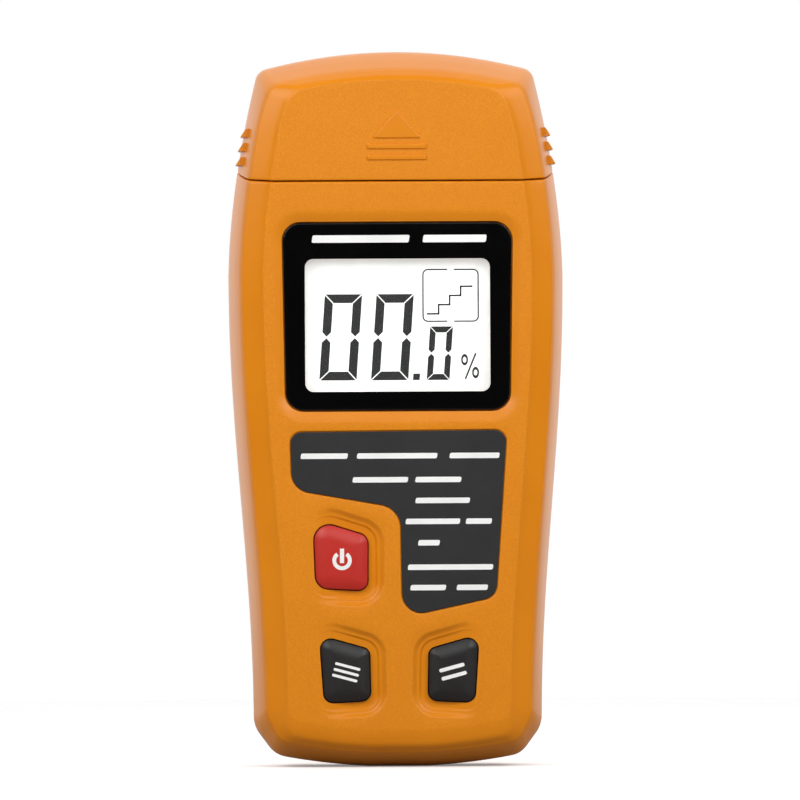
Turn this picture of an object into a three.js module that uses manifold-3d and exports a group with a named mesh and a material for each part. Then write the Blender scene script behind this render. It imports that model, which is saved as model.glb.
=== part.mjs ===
/**
 * A two-pin wood moisture meter with its pin cap on, standing on its lower end.
 *
 * Millimetres. Z runs up the meter, the display faces -Y and +X is to the right of the display.
 * The origin is the middle of the flat on the lower end.
 */
import * as THREE from 'three';
import { mergeVertices } from 'three/addons/utils/BufferGeometryUtils.js';
import Module from 'manifold-3d';

const wasm = await Module();
wasm.setup();

// ---------------------------------------------------------------- driving dimensions

const HEIGHT = 144;                 // lower end to the top of the cap
const HALF_WIDTH = 33.75;           // at the widest place
const HALF_DEPTH = 15;              // middle plane to the flat back, and to the tops of the keys
const FRONT_FACE_Y = -14.2;         // the front face, with the keys standing a little proud of it
const WALL = 2;                     // housing wall
const GAP = 0.3;                    // clearance between pieces that pass or seat in each other
const CONTACT = 0.05;               // clearance between pieces that are glued, soldered or clamped
const BARELY = 0.1;                 // how far a rib or post runs into the wall that it grows from

// side outline: an S-curve from the heel up to the widest place, and a taper above it
const HEEL_Z = 8.6;
const HEEL_HALF_WIDTH = 28.9;
const HEEL_RADIUS = 4;
const WIDEST_Z = 98;
const TOP_CORNER_Z = 140.2;
const TOP_CORNER_HALF_WIDTH = 27.7;
const TOP_CORNER_RADIUS = 2.9;
const TAPER_POWER = 1.75;

// lower end: a flat to stand on, then a shallow arc out to the toe
const REST_HALF_WIDTH = 6;
const TOE_HALF_WIDTH = 24.2;
const TOE_RADIUS = 3;
const LOWER_ARC_RADIUS = 111;

// how the outline draws in towards the front face and the back: [y, sides, top, lower end]
const DEPTH_ROWS = [
  [FRONT_FACE_Y, 6.7, 5.9, 7.4],
  [-13.65, 6, 5.2, 4.6],
  [-12.1, 2.6, 4.1, 3],
  [-11.2, 2.1, 3.6, 2.4],
  [-8.5, 1.3, 2.5, 1.1],
  [-5, 0.6, 1.2, 0],
  [-1.5, 0.1, 0.2, 0],
  [1.5, 0, 0, 0],
  [5, 0.3, 0.3, 0],
  [8.5, 1, 0.9, 0.2],
  [11.5, 2.4, 2.3, 1.1],
  [13.6, 4.6, 4.5, 2.5],
  [14.6, 6.5, 6.4, 3.7],
  [HALF_DEPTH, 8.5, 8.4, 5],
];
const CORNER_GROWTH = 0.5;          // the top corners grow rounder by this share of the draw-in
const TOE_DRAW_IN = 0.35;           // the toe draws in by this share of what the sides do
const HEEL_LIFT = 0.85;             // and the heel lifts by this share of what the lower end does

// cap: parted from the housing by a plane that rises towards the back
const CAP_CUT_Z = 117.7;
const CAP_CUT_TILT = THREE.MathUtils.degToRad(8);
const RIB_COUNT = 3;
const RIB_TOP_Z = 128.5;
const RIB_HEIGHT = 1.7;
const RIB_PITCH = 2.85;
const RIB_REACH = 0.7;
const RIB_HALF_LENGTH = 6.5;
const MARK_RELIEF = 0.35;
const ARROW = { halfWidth: 5.05, tipZ: 131.8, baseZ: 126.3 };
const PULL_BAR = { halfWidth: 6.05, height: 1.1, pitch: 2.2, topZ: 125.2, count: 2 };

// pin block, sockets and pins
const BLOCK_BOTTOM_Z = 116.8;
const BLOCK_TOP_Z = 124;
const PIN_X = 12.5;
const SOCKET_RADIUS = 2.6;
const SOCKET_BOTTOM_Z = 111;
const SOCKET_FLOOR_Z = 115;
const PIN_RADIUS = 1;
const PIN_COLLAR_RADIUS = 2.4;
const PIN_COLLAR_HEIGHT = 3;
const PIN_LENGTH = 9.5;
const PIN_POINT_LENGTH = 3;

// display window, its seat and what lies behind it
const WINDOW = { halfWidth: 23, bottomZ: 71.7, topZ: 109.3, radius: 3.5, thickness: 1.2, sunk: 0.7 };
const WINDOW_BEVEL = 1.8;
const WINDOW_LEDGE = 1.35;
const WINDOW_SEAT_BORDER = 2;
const SIGHT = { halfWidth: 19.6, bottomZ: 74.4, topZ: 103.1, radius: 2.2 };
const LCD = { halfWidth: 21.2, bottomZ: 73.9, topZ: 104.4, radius: 0.6, thickness: 2 };
const LCD_FRAME_BORDER = 1.3;
const LCD_FRAME_FLOOR = 1;
const LCD_FRAME_WINDOW_BORDER = 5;
const ZEBRA = { halfWidth: 19, bottomZ: 75.4, height: 2 };

// label plate, as corners [x, z, radius]
const LABEL_CORNERS = [
  [-21.7, 67.3, 2.2],
  [-21.4, 55.8, 4],
  [0.4, 52, 4.8],
  [0.7, 30, 3.9],
  [19.5, 34.1, 3],
  [21.8, 67.6, 2.3],
];
const LABEL_THICKNESS = 0.4;
const LABEL_PROUD = 0.1;

// keys, as corners [x, z, radius] of the crown, and the middle of the switch under each
const POWER_CORNERS = [
  [-17.5, 49.3, 3],
  [-16.9, 35.6, 2.6],
  [-6.35, 35.1, 1.8],
  [-6.3, 45.9, 2],
];
const MODE_CORNERS = [
  [-15.9, 25.9, 2],
  [-15, 12.4, 1.8],
  [-5.4, 12.9, 1.7],
  [-5.6, 23.1, 1.5],
];
const HOLD_CORNERS = mirrored(MODE_CORNERS);
const KEYS = [
  { name: 'power', corners: POWER_CORNERS, x: -11.6, z: 41.4, colour: 0xc4261d },
  { name: 'mode', corners: MODE_CORNERS, x: -10.5, z: 18.7, colour: 0x33302f },
  { name: 'hold', corners: HOLD_CORNERS, x: 10.5, z: 18.7, colour: 0x33302f },
];
const KEY_TOP_Y = -HALF_DEPTH;
const KEY_FLANGE = 0.9;
const KEY_FLANGE_THICKNESS = 0.75;
const KEY_EDGE = { drop: 0.5, inset: 0.8 };
const KEY_TRAVEL = 0.5;
const POCKET = { depth: 1, floorBorder: 1.3, mouthBorder: 3.2 };

// switches under the keys
const SWITCH_HALF_WIDTH = 3;
const SWITCH_HEIGHT = 2.55;
const PLUNGER_RADIUS = 1.75;
const PLUNGER_SUNK = 1.3;

// circuit board: the wide part behind the display, and the tongue down under the keys
const BOARD_FRONT_Y = -7.6;
const BOARD_THICKNESS = 1.6;
const BOARD = { halfWidth: 23, bottomZ: 66, topZ: 108, tongueHalfWidth: 16.4, tongueBottomZ: 10.5 };
const BOARD_SCREW = { x: 18, z: 69.3, headRadius: 2.1, headHeight: 1.35, radius: 0.95, length: 4.5 };
const BOARD_POST_RADIUS = 2.3;
const BUZZER = { x: -13, z: 90, radius: 6, height: 6.4 };
const CHIPS = [
  { name: 'controller_chip', x: 1, z: 89, halfWidth: 5, halfHeight: 5, thickness: 1.5 },
  { name: 'amplifier_chip', x: 13, z: 94, halfWidth: 2, halfHeight: 2.5, thickness: 1.6 },
];

// battery, its snap connector, bay and door
const BATTERY = { halfWidth: 13.25, thickness: 17.5, bottomZ: 11.6, height: 46, radius: 2 };
const TERMINAL = { x: 6.35, height: 2.5, studRadius: 2.9, cupRadius: 4 };
const SNAP = { halfWidth: 12.8, halfDepth: 5.8, height: 4.4 };
const BAY_WALL = 1.2;
const BAY_CLEARANCE = 0.4;
const LEAD_NOTCH = { halfWidth: 4, backY: 1.5 };
const DOOR = { halfWidth: 15.7, bottomZ: 8.3, topZ: 67, thickness: 1.6 };
const DOOR_TONGUE = { halfWidth: 5, length: 2.6, thickness: 1 };
const DOOR_HOOK = { innerX: 6, outerX: 11, frontY: 11.6, backY: 12.7, bottomZ: 6.1, topZ: 9 };
const LEDGE = { border: 1.8, depth: 1.2 };
const SCOOP = { radius: 12, depth: 1.2, halfLength: 7, z: 71.5 };

// case screws, driven in from the back: [x, z]
const CASE_SCREW_PLACES = [
  [-21.5, 112.5],
  [21.5, 112.5],
  [-20.3, 11.5],
  [20.3, 11.5],
];
const CASE_SCREW = { headRadius: 2.5, headHeight: 1.8, radius: 1.2, tipY: -9, seatY: 7.2 };
const FRONT_BOSS_RADIUS = 2.9;
const BACK_BOSS_RADIUS = 4;
const COUNTERBORE_RADIUS = 2.9;
const CROSS_RECESS = { halfLength: 1.5, halfWidth: 0.4, depth: 0.9 };

const LEAD_RADIUS = 0.65;
const FAR = 200;                    // reach of the blocks used only to cut with
const ROUND_SEGMENTS = 24;
const SMALL_SEGMENTS = 14;
const LEAD_SEGMENTS = 8;
const LEAD_STEPS = 10;
const ARC_STEPS = 4;

// depths that follow from the ones above
const INNER_FRONT_Y = FRONT_FACE_Y * (1 - WALL / HALF_DEPTH);
const WINDOW_FRONT_Y = FRONT_FACE_Y + WINDOW.sunk;
const WINDOW_BACK_Y = WINDOW_FRONT_Y + WINDOW.thickness;
const WINDOW_LEDGE_Y = WINDOW_BACK_Y + CONTACT;
const LCD_FRONT_Y = WINDOW_LEDGE_Y + WINDOW_LEDGE + CONTACT;
const LCD_BACK_Y = LCD_FRONT_Y + LCD.thickness;
const BOARD_BACK_Y = BOARD_FRONT_Y + BOARD_THICKNESS;
const SWITCH_BACK_Y = BOARD_FRONT_Y - CONTACT;
const SWITCH_FRONT_Y = SWITCH_BACK_Y - SWITCH_HEIGHT;
const KEY_BACK_Y = INNER_FRONT_Y + GAP + KEY_FLANGE_THICKNESS;
const DOOR_INNER_Y = HALF_DEPTH - DOOR.thickness;
const BATTERY_BACK_Y = DOOR_INNER_Y - GAP;
const BATTERY_FRONT_Y = BATTERY_BACK_Y - BATTERY.thickness;
const BATTERY_MIDDLE_Y = (BATTERY_BACK_Y + BATTERY_FRONT_Y) / 2;
const BATTERY_TOP_Z = BATTERY.bottomZ + BATTERY.height;
const BAY = {
  halfWidth: BATTERY.halfWidth + BAY_CLEARANCE,
  frontY: BATTERY_FRONT_Y - GAP,
  backY: DOOR_INNER_Y - GAP,
  bottomZ: BATTERY.bottomZ - BAY_CLEARANCE,
  topZ: BATTERY_TOP_Z + 7.1,
};

// ---------------------------------------------------------------- working with solids

/** A closed three.js geometry as a solid that can be joined and cut. */
function solidOf(geometry) {
  const bare = geometry.index ? geometry.clone() : geometry;
  bare.deleteAttribute('normal');
  bare.deleteAttribute('uv');
  const merged = mergeVertices(bare, 1e-5);
  return new wasm.Manifold(new wasm.Mesh({
    numProp: 3,
    vertProperties: new Float32Array(merged.attributes.position.array),
    triVerts: new Uint32Array(merged.index.array),
  }));
}

/** A solid as a flat-shaded three.js geometry. */
function geometryOf(solid) {
  const { vertProperties, triVerts } = solid.getMesh();
  const geometry = new THREE.BufferGeometry();
  geometry.setAttribute('position', new THREE.BufferAttribute(vertProperties, 3));
  geometry.setIndex(new THREE.BufferAttribute(triVerts, 1));
  return geometry;
}

/** All the given solids joined into one. */
function joined(solids) {
  return solids.reduce((whole, piece) => whole.add(piece));
}

/** The first solid with all the others cut away. */
function cutBy(solid, cutters) {
  return cutters.reduce((rest, cutter) => rest.subtract(cutter), solid);
}

/** A block between two opposite corners. */
function block([x0, y0, z0], [x1, y1, z1]) {
  const geometry = new THREE.BoxGeometry(x1 - x0, y1 - y0, z1 - z0);
  return solidOf(geometry.translate((x0 + x1) / 2, (y0 + y1) / 2, (z0 + z1) / 2));
}

/** A round rod along Y. */
function rod(x, z, radius, frontY, backY, segments = ROUND_SEGMENTS) {
  const geometry = new THREE.CylinderGeometry(radius, radius, backY - frontY, segments);
  return solidOf(geometry.translate(x, (frontY + backY) / 2, z));
}

/** A round rod along Z. */
function post(x, y, radius, bottomZ, topZ, segments = ROUND_SEGMENTS) {
  const geometry = new THREE.CylinderGeometry(radius, radius, topZ - bottomZ, segments);
  return solidOf(geometry.rotateX(Math.PI / 2).translate(x, y, (bottomZ + topZ) / 2));
}

/** A turned piece about a vertical axis, from a profile of [radius, z] that starts and ends on it. */
function turned(x, y, profile, segments = ROUND_SEGMENTS) {
  const geometry = new THREE.LatheGeometry(profile.map(([r, z]) => new THREE.Vector2(r, z)), segments);
  return solidOf(geometry.rotateX(Math.PI / 2).translate(x, y, 0));
}

/** An outline in x and z carried straight back from one depth to another. */
function slab(outline, frontY, backY) {
  const geometry = new THREE.ExtrudeGeometry(new THREE.Shape(outline), {
    depth: backY - frontY,
    bevelEnabled: false,
    steps: 1,
  });
  return solidOf(geometry.rotateX(Math.PI / 2).translate(0, backY, 0));
}

/** A skin over outlines of equal point count, each at its own depth, listed from front to back. */
function lofted(rings) {
  const count = rings[0].outline.length;
  const positions = rings.flatMap(({ outline, y }) => outline.flatMap((point) => [point.x, y, point.y]));
  const triangles = [];
  for (let ring = 0; ring + 1 < rings.length; ring += 1) {
    for (let corner = 0; corner < count; corner += 1) {
      const here = ring * count + corner;
      const next = ring * count + (corner + 1) % count;
      triangles.push(here, here + count, next, next, here + count, next + count);
    }
  }
  const last = (rings.length - 1) * count;
  for (const [a, b, c] of THREE.ShapeUtils.triangulateShape(rings[0].outline, [])) {
    triangles.push(a, b, c);
  }
  for (const [a, b, c] of THREE.ShapeUtils.triangulateShape(rings[rings.length - 1].outline, [])) {
    triangles.push(last + c, last + b, last + a);
  }
  const geometry = new THREE.BufferGeometry();
  geometry.setAttribute('position', new THREE.Float32BufferAttribute(positions, 3));
  geometry.setIndex(triangles);
  return solidOf(geometry);
}

/** An insulated wire along a smooth curve through the given places. */
function wire(places) {
  const route = new THREE.CatmullRomCurve3(places.map((place) => new THREE.Vector3(...place)));
  const section = new THREE.Shape();
  for (let side = 0; side < LEAD_SEGMENTS; side += 1) {
    const angle = (side / LEAD_SEGMENTS) * 2 * Math.PI;
    const corner = [LEAD_RADIUS * Math.cos(angle), LEAD_RADIUS * Math.sin(angle)];
    if (side === 0) {
      section.moveTo(...corner);
    } else {
      section.lineTo(...corner);
    }
  }
  return solidOf(new THREE.ExtrudeGeometry(section, { steps: LEAD_STEPS, extrudePath: route }));
}

// ---------------------------------------------------------------- outlines

/** Corners reflected in x, in the order that keeps them going round the same way. */
function mirrored(corners) {
  return corners.map(([x, z, radius]) => [-x, z, radius]).reverse();
}

/** The points round a polygon of [x, z, radius] corners, with each radius as an arc. */
function rounded(corners, steps = ARC_STEPS) {
  const points = [];
  corners.forEach(([x, z, radius], index) => {
    const corner = new THREE.Vector2(x, z);
    if (radius === 0) {
      points.push(corner);
      return;
    }
    const [beforeX, beforeZ] = corners[(index + corners.length - 1) % corners.length];
    const [afterX, afterZ] = corners[(index + 1) % corners.length];
    const toBefore = new THREE.Vector2(beforeX, beforeZ).sub(corner).normalize();
    const toAfter = new THREE.Vector2(afterX, afterZ).sub(corner).normalize();
    const halfAngle = Math.acos(toBefore.dot(toAfter)) / 2;
    const bisector = toBefore.clone().add(toAfter).normalize();
    const centre = corner.clone().addScaledVector(bisector, radius / Math.sin(halfAngle));
    const start = corner.clone().addScaledVector(toBefore, radius / Math.tan(halfAngle)).sub(centre);
    const end = corner.clone().addScaledVector(toAfter, radius / Math.tan(halfAngle)).sub(centre);
    const sweep = Math.atan2(start.cross(end), start.dot(end));
    for (let step = 0; step <= steps; step += 1) {
      points.push(start.clone().rotateAround(new THREE.Vector2(), (sweep * step) / steps).add(centre));
    }
  });
  return points;
}

/** Counter-clockwise corners moved out square to the edges; a negative distance moves them in. */
function grown(corners, distance) {
  return corners.map(([x, z, radius], index) => {
    const [beforeX, beforeZ] = corners[(index + corners.length - 1) % corners.length];
    const [afterX, afterZ] = corners[(index + 1) % corners.length];
    const edgeIn = new THREE.Vector2(x - beforeX, z - beforeZ).normalize();
    const edgeOut = new THREE.Vector2(afterX - x, afterZ - z).normalize();
    const mitre = distance / (1 + edgeIn.dot(edgeOut));
    const turnsIn = edgeIn.cross(edgeOut) < 0;
    return [
      x + mitre * (edgeIn.y + edgeOut.y),
      z - mitre * (edgeIn.x + edgeOut.x),
      Math.max(radius + (turnsIn ? -distance : distance), GAP),
    ];
  });
}

/** The corners of an upright rounded rectangle centred on x = 0. */
function panel({ halfWidth, bottomZ, topZ, radius }) {
  return [
    [-halfWidth, bottomZ, radius],
    [halfWidth, bottomZ, radius],
    [halfWidth, topZ, radius],
    [-halfWidth, topZ, radius],
  ];
}

// ---------------------------------------------------------------- the outer form

/** Half the width of the housing at a height. */
function halfWidthAt(z) {
  if (z <= WIDEST_Z) {
    const down = (WIDEST_Z - z) / (WIDEST_Z - HEEL_Z);
    return HALF_WIDTH - (HALF_WIDTH - HEEL_HALF_WIDTH) * (1 - Math.cos(Math.PI * down)) / 2;
  }
  const up = (z - WIDEST_Z) / (TOP_CORNER_Z - WIDEST_Z);
  return HALF_WIDTH - (HALF_WIDTH - TOP_CORNER_HALF_WIDTH) * up ** TAPER_POWER;
}

/** Height of the crowned top edge at a distance from the middle. */
function topEdgeAt(x) {
  return HEIGHT - (HEIGHT - TOP_CORNER_Z) * (x / TOP_CORNER_HALF_WIDTH) ** 2;
}

/** Height of the lower edge at a distance from the middle. */
function lowerEdgeAt(x) {
  return Math.max(x ** 2 - REST_HALF_WIDTH ** 2, 0) / (2 * LOWER_ARC_RADIUS);
}

/** Values evenly spaced from a first to a last one, both left out. */
function between(first, last, count) {
  return Array.from({ length: count }, (_, index) => first + ((last - first) * (index + 1)) / (count + 1));
}

/** The outline of the housing, drawn in by so much at the sides, the top and the lower end. */
function housingOutline(sides, top, lower) {
  const topX = TOP_CORNER_HALF_WIDTH - sides;
  const ribTopZ = RIB_TOP_Z - RIB_HEIGHT;
  const right = [
    ...[REST_HALF_WIDTH, ...between(REST_HALF_WIDTH, TOE_HALF_WIDTH, 2)].map((x) => (
      [x * (1 - (TOE_DRAW_IN * sides) / TOE_HALF_WIDTH), lowerEdgeAt(x) + lower, 0]
    )),
    [TOE_HALF_WIDTH - TOE_DRAW_IN * sides, lowerEdgeAt(TOE_HALF_WIDTH) + lower, TOE_RADIUS],
    [HEEL_HALF_WIDTH - sides, HEEL_Z + HEEL_LIFT * lower, HEEL_RADIUS],
    ...[...between(HEEL_Z, WIDEST_Z, 7), WIDEST_Z, ...between(WIDEST_Z, ribTopZ, 2), ribTopZ].map((z) => (
      [halfWidthAt(z) - sides, z, 0]
    )),
    [topX, topEdgeAt(topX) - top, TOP_CORNER_RADIUS + CORNER_GROWTH * sides],
    ...between(topX, 0, 2).map((x) => [x, topEdgeAt(x) - top, 0]),
  ];
  return rounded([...right, [0, HEIGHT - top, 0], ...mirrored(right)]);
}

/** The whole outer form, cap and all, with its skin moved in by a wall thickness. */
function outerForm(wall = 0) {
  return lofted(DEPTH_ROWS.map(([y, sides, top, lower]) => ({
    outline: housingOutline(sides + wall, top + wall, lower + wall),
    y: y * (1 - wall / HALF_DEPTH),
  })));
}

/** Everything above the plane that parts the cap from the housing, moved up by a distance. */
function aboveCapCut(raise) {
  const geometry = new THREE.BoxGeometry(FAR, FAR, FAR).translate(0, 0, FAR / 2 + raise);
  return solidOf(geometry.rotateX(CAP_CUT_TILT).translate(0, FRONT_FACE_Y, CAP_CUT_Z));
}

const FORM = outerForm();
const INSIDE = outerForm(WALL);
const BELOW_CAP = FORM.subtract(aboveCapCut(-GAP / 2));

// ---------------------------------------------------------------- housing

function caseScrewBoss(radius, frontY, backY) {
  return CASE_SCREW_PLACES.map(([x, z]) => rod(x, z, radius, frontY, backY));
}

/** The dished pocket that a key sits in, and the hole for the key through its floor. */
function keyOpening({ corners }) {
  const floorY = FRONT_FACE_Y + POCKET.depth;
  const dish = lofted([
    { outline: rounded(grown(corners, POCKET.mouthBorder + POCKET.mouthBorder)), y: FRONT_FACE_Y - POCKET.depth },
    { outline: rounded(grown(corners, POCKET.mouthBorder)), y: FRONT_FACE_Y },
    { outline: rounded(grown(corners, POCKET.floorBorder)), y: floorY },
  ]);
  return dish.add(slab(rounded(grown(corners, GAP)), floorY - BARELY, INNER_FRONT_Y + WALL));
}

/** The sloped recess for the display window, its ledge and the hole to look through. */
function windowOpening() {
  const corners = panel(WINDOW);
  const recess = lofted([
    { outline: rounded(grown(corners, WINDOW_BEVEL * 2)), y: FRONT_FACE_Y - WINDOW.sunk },
    { outline: rounded(grown(corners, WINDOW_BEVEL)), y: FRONT_FACE_Y },
    { outline: rounded(grown(corners, GAP)), y: WINDOW_FRONT_Y },
    { outline: rounded(grown(corners, GAP)), y: WINDOW_LEDGE_Y },
  ]);
  return recess.add(slab(rounded(panel(SIGHT)), WINDOW_FRONT_Y, 0));
}

function frontShell() {
  const skin = BELOW_CAP
    .intersect(block([-FAR, -FAR, -FAR], [FAR, -GAP / 2, FAR]))
    .subtract(INSIDE);
  const seat = slab(
    rounded(grown(panel(WINDOW), WINDOW_SEAT_BORDER)),
    INNER_FRONT_Y - BARELY,
    WINDOW_LEDGE_Y + WINDOW_LEDGE,
  );
  const boardPosts = [-1, 1].map((side) => (
    rod(side * BOARD_SCREW.x, BOARD_SCREW.z, BOARD_POST_RADIUS, INNER_FRONT_Y - BARELY, BOARD_FRONT_Y - CONTACT)
  ));
  const bosses = caseScrewBoss(FRONT_BOSS_RADIUS, INNER_FRONT_Y - BARELY, -GAP / 2);
  const bossHoles = caseScrewBoss(CASE_SCREW.radius + GAP, CASE_SCREW.tipY - 1, FAR);
  const boardScrewHoles = [-1, 1].map((side) => (
    rod(side * BOARD_SCREW.x, BOARD_SCREW.z, BOARD_SCREW.radius + GAP, INNER_FRONT_Y, 0, SMALL_SEGMENTS)
  ));
  const labelSeat = slab(
    rounded(grown(LABEL_CORNERS, GAP)),
    FRONT_FACE_Y - 1,
    FRONT_FACE_Y - LABEL_PROUD + LABEL_THICKNESS + CONTACT,
  );
  return cutBy(joined([skin, seat, ...boardPosts, ...bosses]), [
    windowOpening(),
    labelSeat,
    ...KEYS.map(keyOpening),
    ...bossHoles,
    ...boardScrewHoles,
  ]);
}

/** The walls moulded round the battery, and the ledge that the door closes onto. */
function bayWalls() {
  const halfWidth = BAY.halfWidth + BAY_WALL;
  const walls = block(
    [-halfWidth, BAY.frontY - BAY_WALL, BAY.bottomZ - BAY_WALL],
    [halfWidth, BAY.backY, BAY.topZ + BAY_WALL],
  );
  const ledge = block(
    [-DOOR.halfWidth - LEDGE.border, BAY.backY - LEDGE.depth, DOOR.bottomZ - LEDGE.border],
    [DOOR.halfWidth + LEDGE.border, BAY.backY, DOOR.topZ + LEDGE.border],
  );
  return walls.add(ledge);
}

/** The space for the battery, and the notch in the wall above it for the leads. */
function baySpace() {
  return [
    block([-BAY.halfWidth, BAY.frontY, BAY.bottomZ], [BAY.halfWidth, FAR, BAY.topZ]),
    block(
      [-LEAD_NOTCH.halfWidth, BAY.frontY, BAY.topZ - BARELY],
      [LEAD_NOTCH.halfWidth, LEAD_NOTCH.backY, BAY.topZ + BAY_WALL + BARELY],
    ),
  ];
}

/** Slots for the door hooks, wide enough for them to swing in. */
function doorHookSlots() {
  const swing = HALF_DEPTH - DOOR_HOOK.frontY + 0.8;
  return [-1, 1].map((side) => {
    const xs = [side * (DOOR_HOOK.innerX - GAP), side * (DOOR_HOOK.outerX + GAP)].sort((a, b) => a - b);
    return block(
      [xs[0], HALF_DEPTH - swing, DOOR_HOOK.bottomZ - 1],
      [xs[1], DOOR_INNER_Y + GAP, BATTERY.bottomZ],
    ).subtract(block([-FAR, HALF_DEPTH - WALL, -FAR], [FAR, FAR, DOOR.bottomZ - GAP]));
  });
}

function rearShell() {
  const skin = BELOW_CAP
    .intersect(block([-FAR, GAP / 2, -FAR], [FAR, FAR, FAR]))
    .subtract(INSIDE);
  const bosses = caseScrewBoss(BACK_BOSS_RADIUS, GAP / 2, HALF_DEPTH - WALL + BARELY);
  const counterbores = caseScrewBoss(COUNTERBORE_RADIUS, CASE_SCREW.seatY, FAR);
  const bossHoles = caseScrewBoss(CASE_SCREW.radius + GAP, -FAR, CASE_SCREW.seatY + BARELY);
  const doorway = block(
    [-DOOR.halfWidth - GAP, DOOR_INNER_Y - GAP, DOOR.bottomZ - GAP],
    [DOOR.halfWidth + GAP, FAR, DOOR.topZ + GAP],
  );
  const tongueNotch = block(
    [-DOOR_TONGUE.halfWidth - GAP, DOOR_INNER_Y - GAP, DOOR.topZ],
    [DOOR_TONGUE.halfWidth + GAP, FAR, DOOR.topZ + DOOR_TONGUE.length + GAP],
  );
  const scoop = new THREE.CylinderGeometry(SCOOP.radius, SCOOP.radius, 2 * SCOOP.halfLength, 2 * ROUND_SEGMENTS)
    .rotateZ(Math.PI / 2)
    .translate(0, HALF_DEPTH + SCOOP.radius - SCOOP.depth, SCOOP.z);
  return cutBy(joined([skin, ...bosses, bayWalls()]), [
    ...baySpace(),
    doorway,
    tongueNotch,
    solidOf(scoop),
    ...doorHookSlots(),
    ...counterbores,
    ...bossHoles,
  ]);
}

// ---------------------------------------------------------------- cap

/** Ramped ribs down one side of the cap, each ending in a step at its lower edge. */
function gripRibs(side) {
  return Array.from({ length: RIB_COUNT }, (_, index) => {
    const topZ = RIB_TOP_Z - index * RIB_PITCH;
    const lowZ = topZ - RIB_HEIGHT;
    const section = [
      new THREE.Vector2(halfWidthAt(topZ) - WALL / 2, topZ),
      new THREE.Vector2(halfWidthAt(lowZ) - WALL / 2, lowZ),
      new THREE.Vector2(halfWidthAt(lowZ) + RIB_REACH, lowZ),
    ].map((point) => new THREE.Vector2(side * point.x, point.y));
    return slab(side > 0 ? section : section.reverse(), -RIB_HALF_LENGTH, RIB_HALF_LENGTH);
  });
}

/** The raised arrow and the two bars under it that show which way the cap pulls off. */
function pullMarks() {
  const frontY = FRONT_FACE_Y - MARK_RELIEF;
  const arrow = slab([
    new THREE.Vector2(-ARROW.halfWidth, ARROW.baseZ),
    new THREE.Vector2(ARROW.halfWidth, ARROW.baseZ),
    new THREE.Vector2(0, ARROW.tipZ),
  ], frontY, FRONT_FACE_Y + BARELY);
  const bars = Array.from({ length: PULL_BAR.count }, (_, index) => {
    const topZ = PULL_BAR.topZ - index * PULL_BAR.pitch;
    return block(
      [-PULL_BAR.halfWidth, frontY, topZ - PULL_BAR.height],
      [PULL_BAR.halfWidth, FRONT_FACE_Y + BARELY, topZ],
    );
  });
  return [arrow, ...bars];
}

function pinCap() {
  const skin = joined([FORM, ...gripRibs(-1), ...gripRibs(1), ...pullMarks()]);
  return skin.intersect(aboveCapCut(GAP / 2)).subtract(INSIDE);
}

// ---------------------------------------------------------------- pins

function pinBlock() {
  const body = outerForm(WALL + GAP).intersect(block([-FAR, -FAR, BLOCK_BOTTOM_Z], [FAR, FAR, BLOCK_TOP_Z]));
  return cutBy(body, [-1, 1].map((side) => (
    post(side * PIN_X, 0, SOCKET_RADIUS + GAP, BLOCK_BOTTOM_Z - 1, BLOCK_TOP_Z + 1)
  )));
}

/** A brass socket through the block, with a blind bore for the shank of the pin. */
function pinSocket(side) {
  const boreRadius = PIN_RADIUS + GAP;
  return turned(side * PIN_X, 0, [
    [0, SOCKET_BOTTOM_Z],
    [SOCKET_RADIUS, SOCKET_BOTTOM_Z],
    [SOCKET_RADIUS, BLOCK_TOP_Z],
    [boreRadius, BLOCK_TOP_Z],
    [boreRadius, SOCKET_FLOOR_Z],
    [0, SOCKET_FLOOR_Z],
  ]);
}

/** A steel pin: shank in the socket, a collar on top of it, then the needle and its point. */
function electrodePin(side) {
  const collarZ = BLOCK_TOP_Z + GAP;
  const needleZ = collarZ + PIN_COLLAR_HEIGHT;
  return turned(side * PIN_X, 0, [
    [0, SOCKET_FLOOR_Z + GAP],
    [PIN_RADIUS, SOCKET_FLOOR_Z + GAP],
    [PIN_RADIUS, collarZ],
    [PIN_COLLAR_RADIUS, collarZ],
    [PIN_COLLAR_RADIUS, needleZ],
    [PIN_RADIUS, needleZ],
    [PIN_RADIUS, needleZ + PIN_LENGTH - PIN_POINT_LENGTH],
    [0, needleZ + PIN_LENGTH],
  ]);
}

function pinLead(side) {
  const x = side * PIN_X;
  return wire([
    [x, 0, SOCKET_BOTTOM_Z - GAP],
    [x, -0.6, SOCKET_BOTTOM_Z - 3],
    [x, -3, SOCKET_BOTTOM_Z - 5.4],
    [x, BOARD_BACK_Y + GAP, SOCKET_BOTTOM_Z - 6],
  ]);
}

// ---------------------------------------------------------------- display

function displayWindow() {
  return slab(rounded(panel(WINDOW)), WINDOW_FRONT_Y, WINDOW_BACK_Y);
}

function lcdPanel() {
  return slab(rounded(panel(LCD)), LCD_FRONT_Y, LCD_BACK_Y);
}

/** The tray that holds the LCD glass against its ledge, open in the middle and under the strip. */
function lcdFrame() {
  const backY = LCD_BACK_Y + CONTACT + LCD_FRAME_FLOOR;
  const outside = slab(rounded(grown(panel(LCD), LCD_FRAME_BORDER)), LCD_FRONT_Y + GAP, backY);
  const glassSeat = slab(rounded(grown(panel(LCD), GAP)), -HALF_DEPTH, LCD_BACK_Y + CONTACT);
  const middle = slab(rounded(grown(panel(LCD), -LCD_FRAME_WINDOW_BORDER)), LCD_BACK_Y, backY + 1);
  const stripSlot = block(
    [-ZEBRA.halfWidth - GAP, LCD_BACK_Y, ZEBRA.bottomZ - GAP],
    [ZEBRA.halfWidth + GAP, backY + 1, ZEBRA.bottomZ + ZEBRA.height + GAP],
  );
  return cutBy(outside, [glassSeat, middle, stripSlot]);
}

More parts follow.
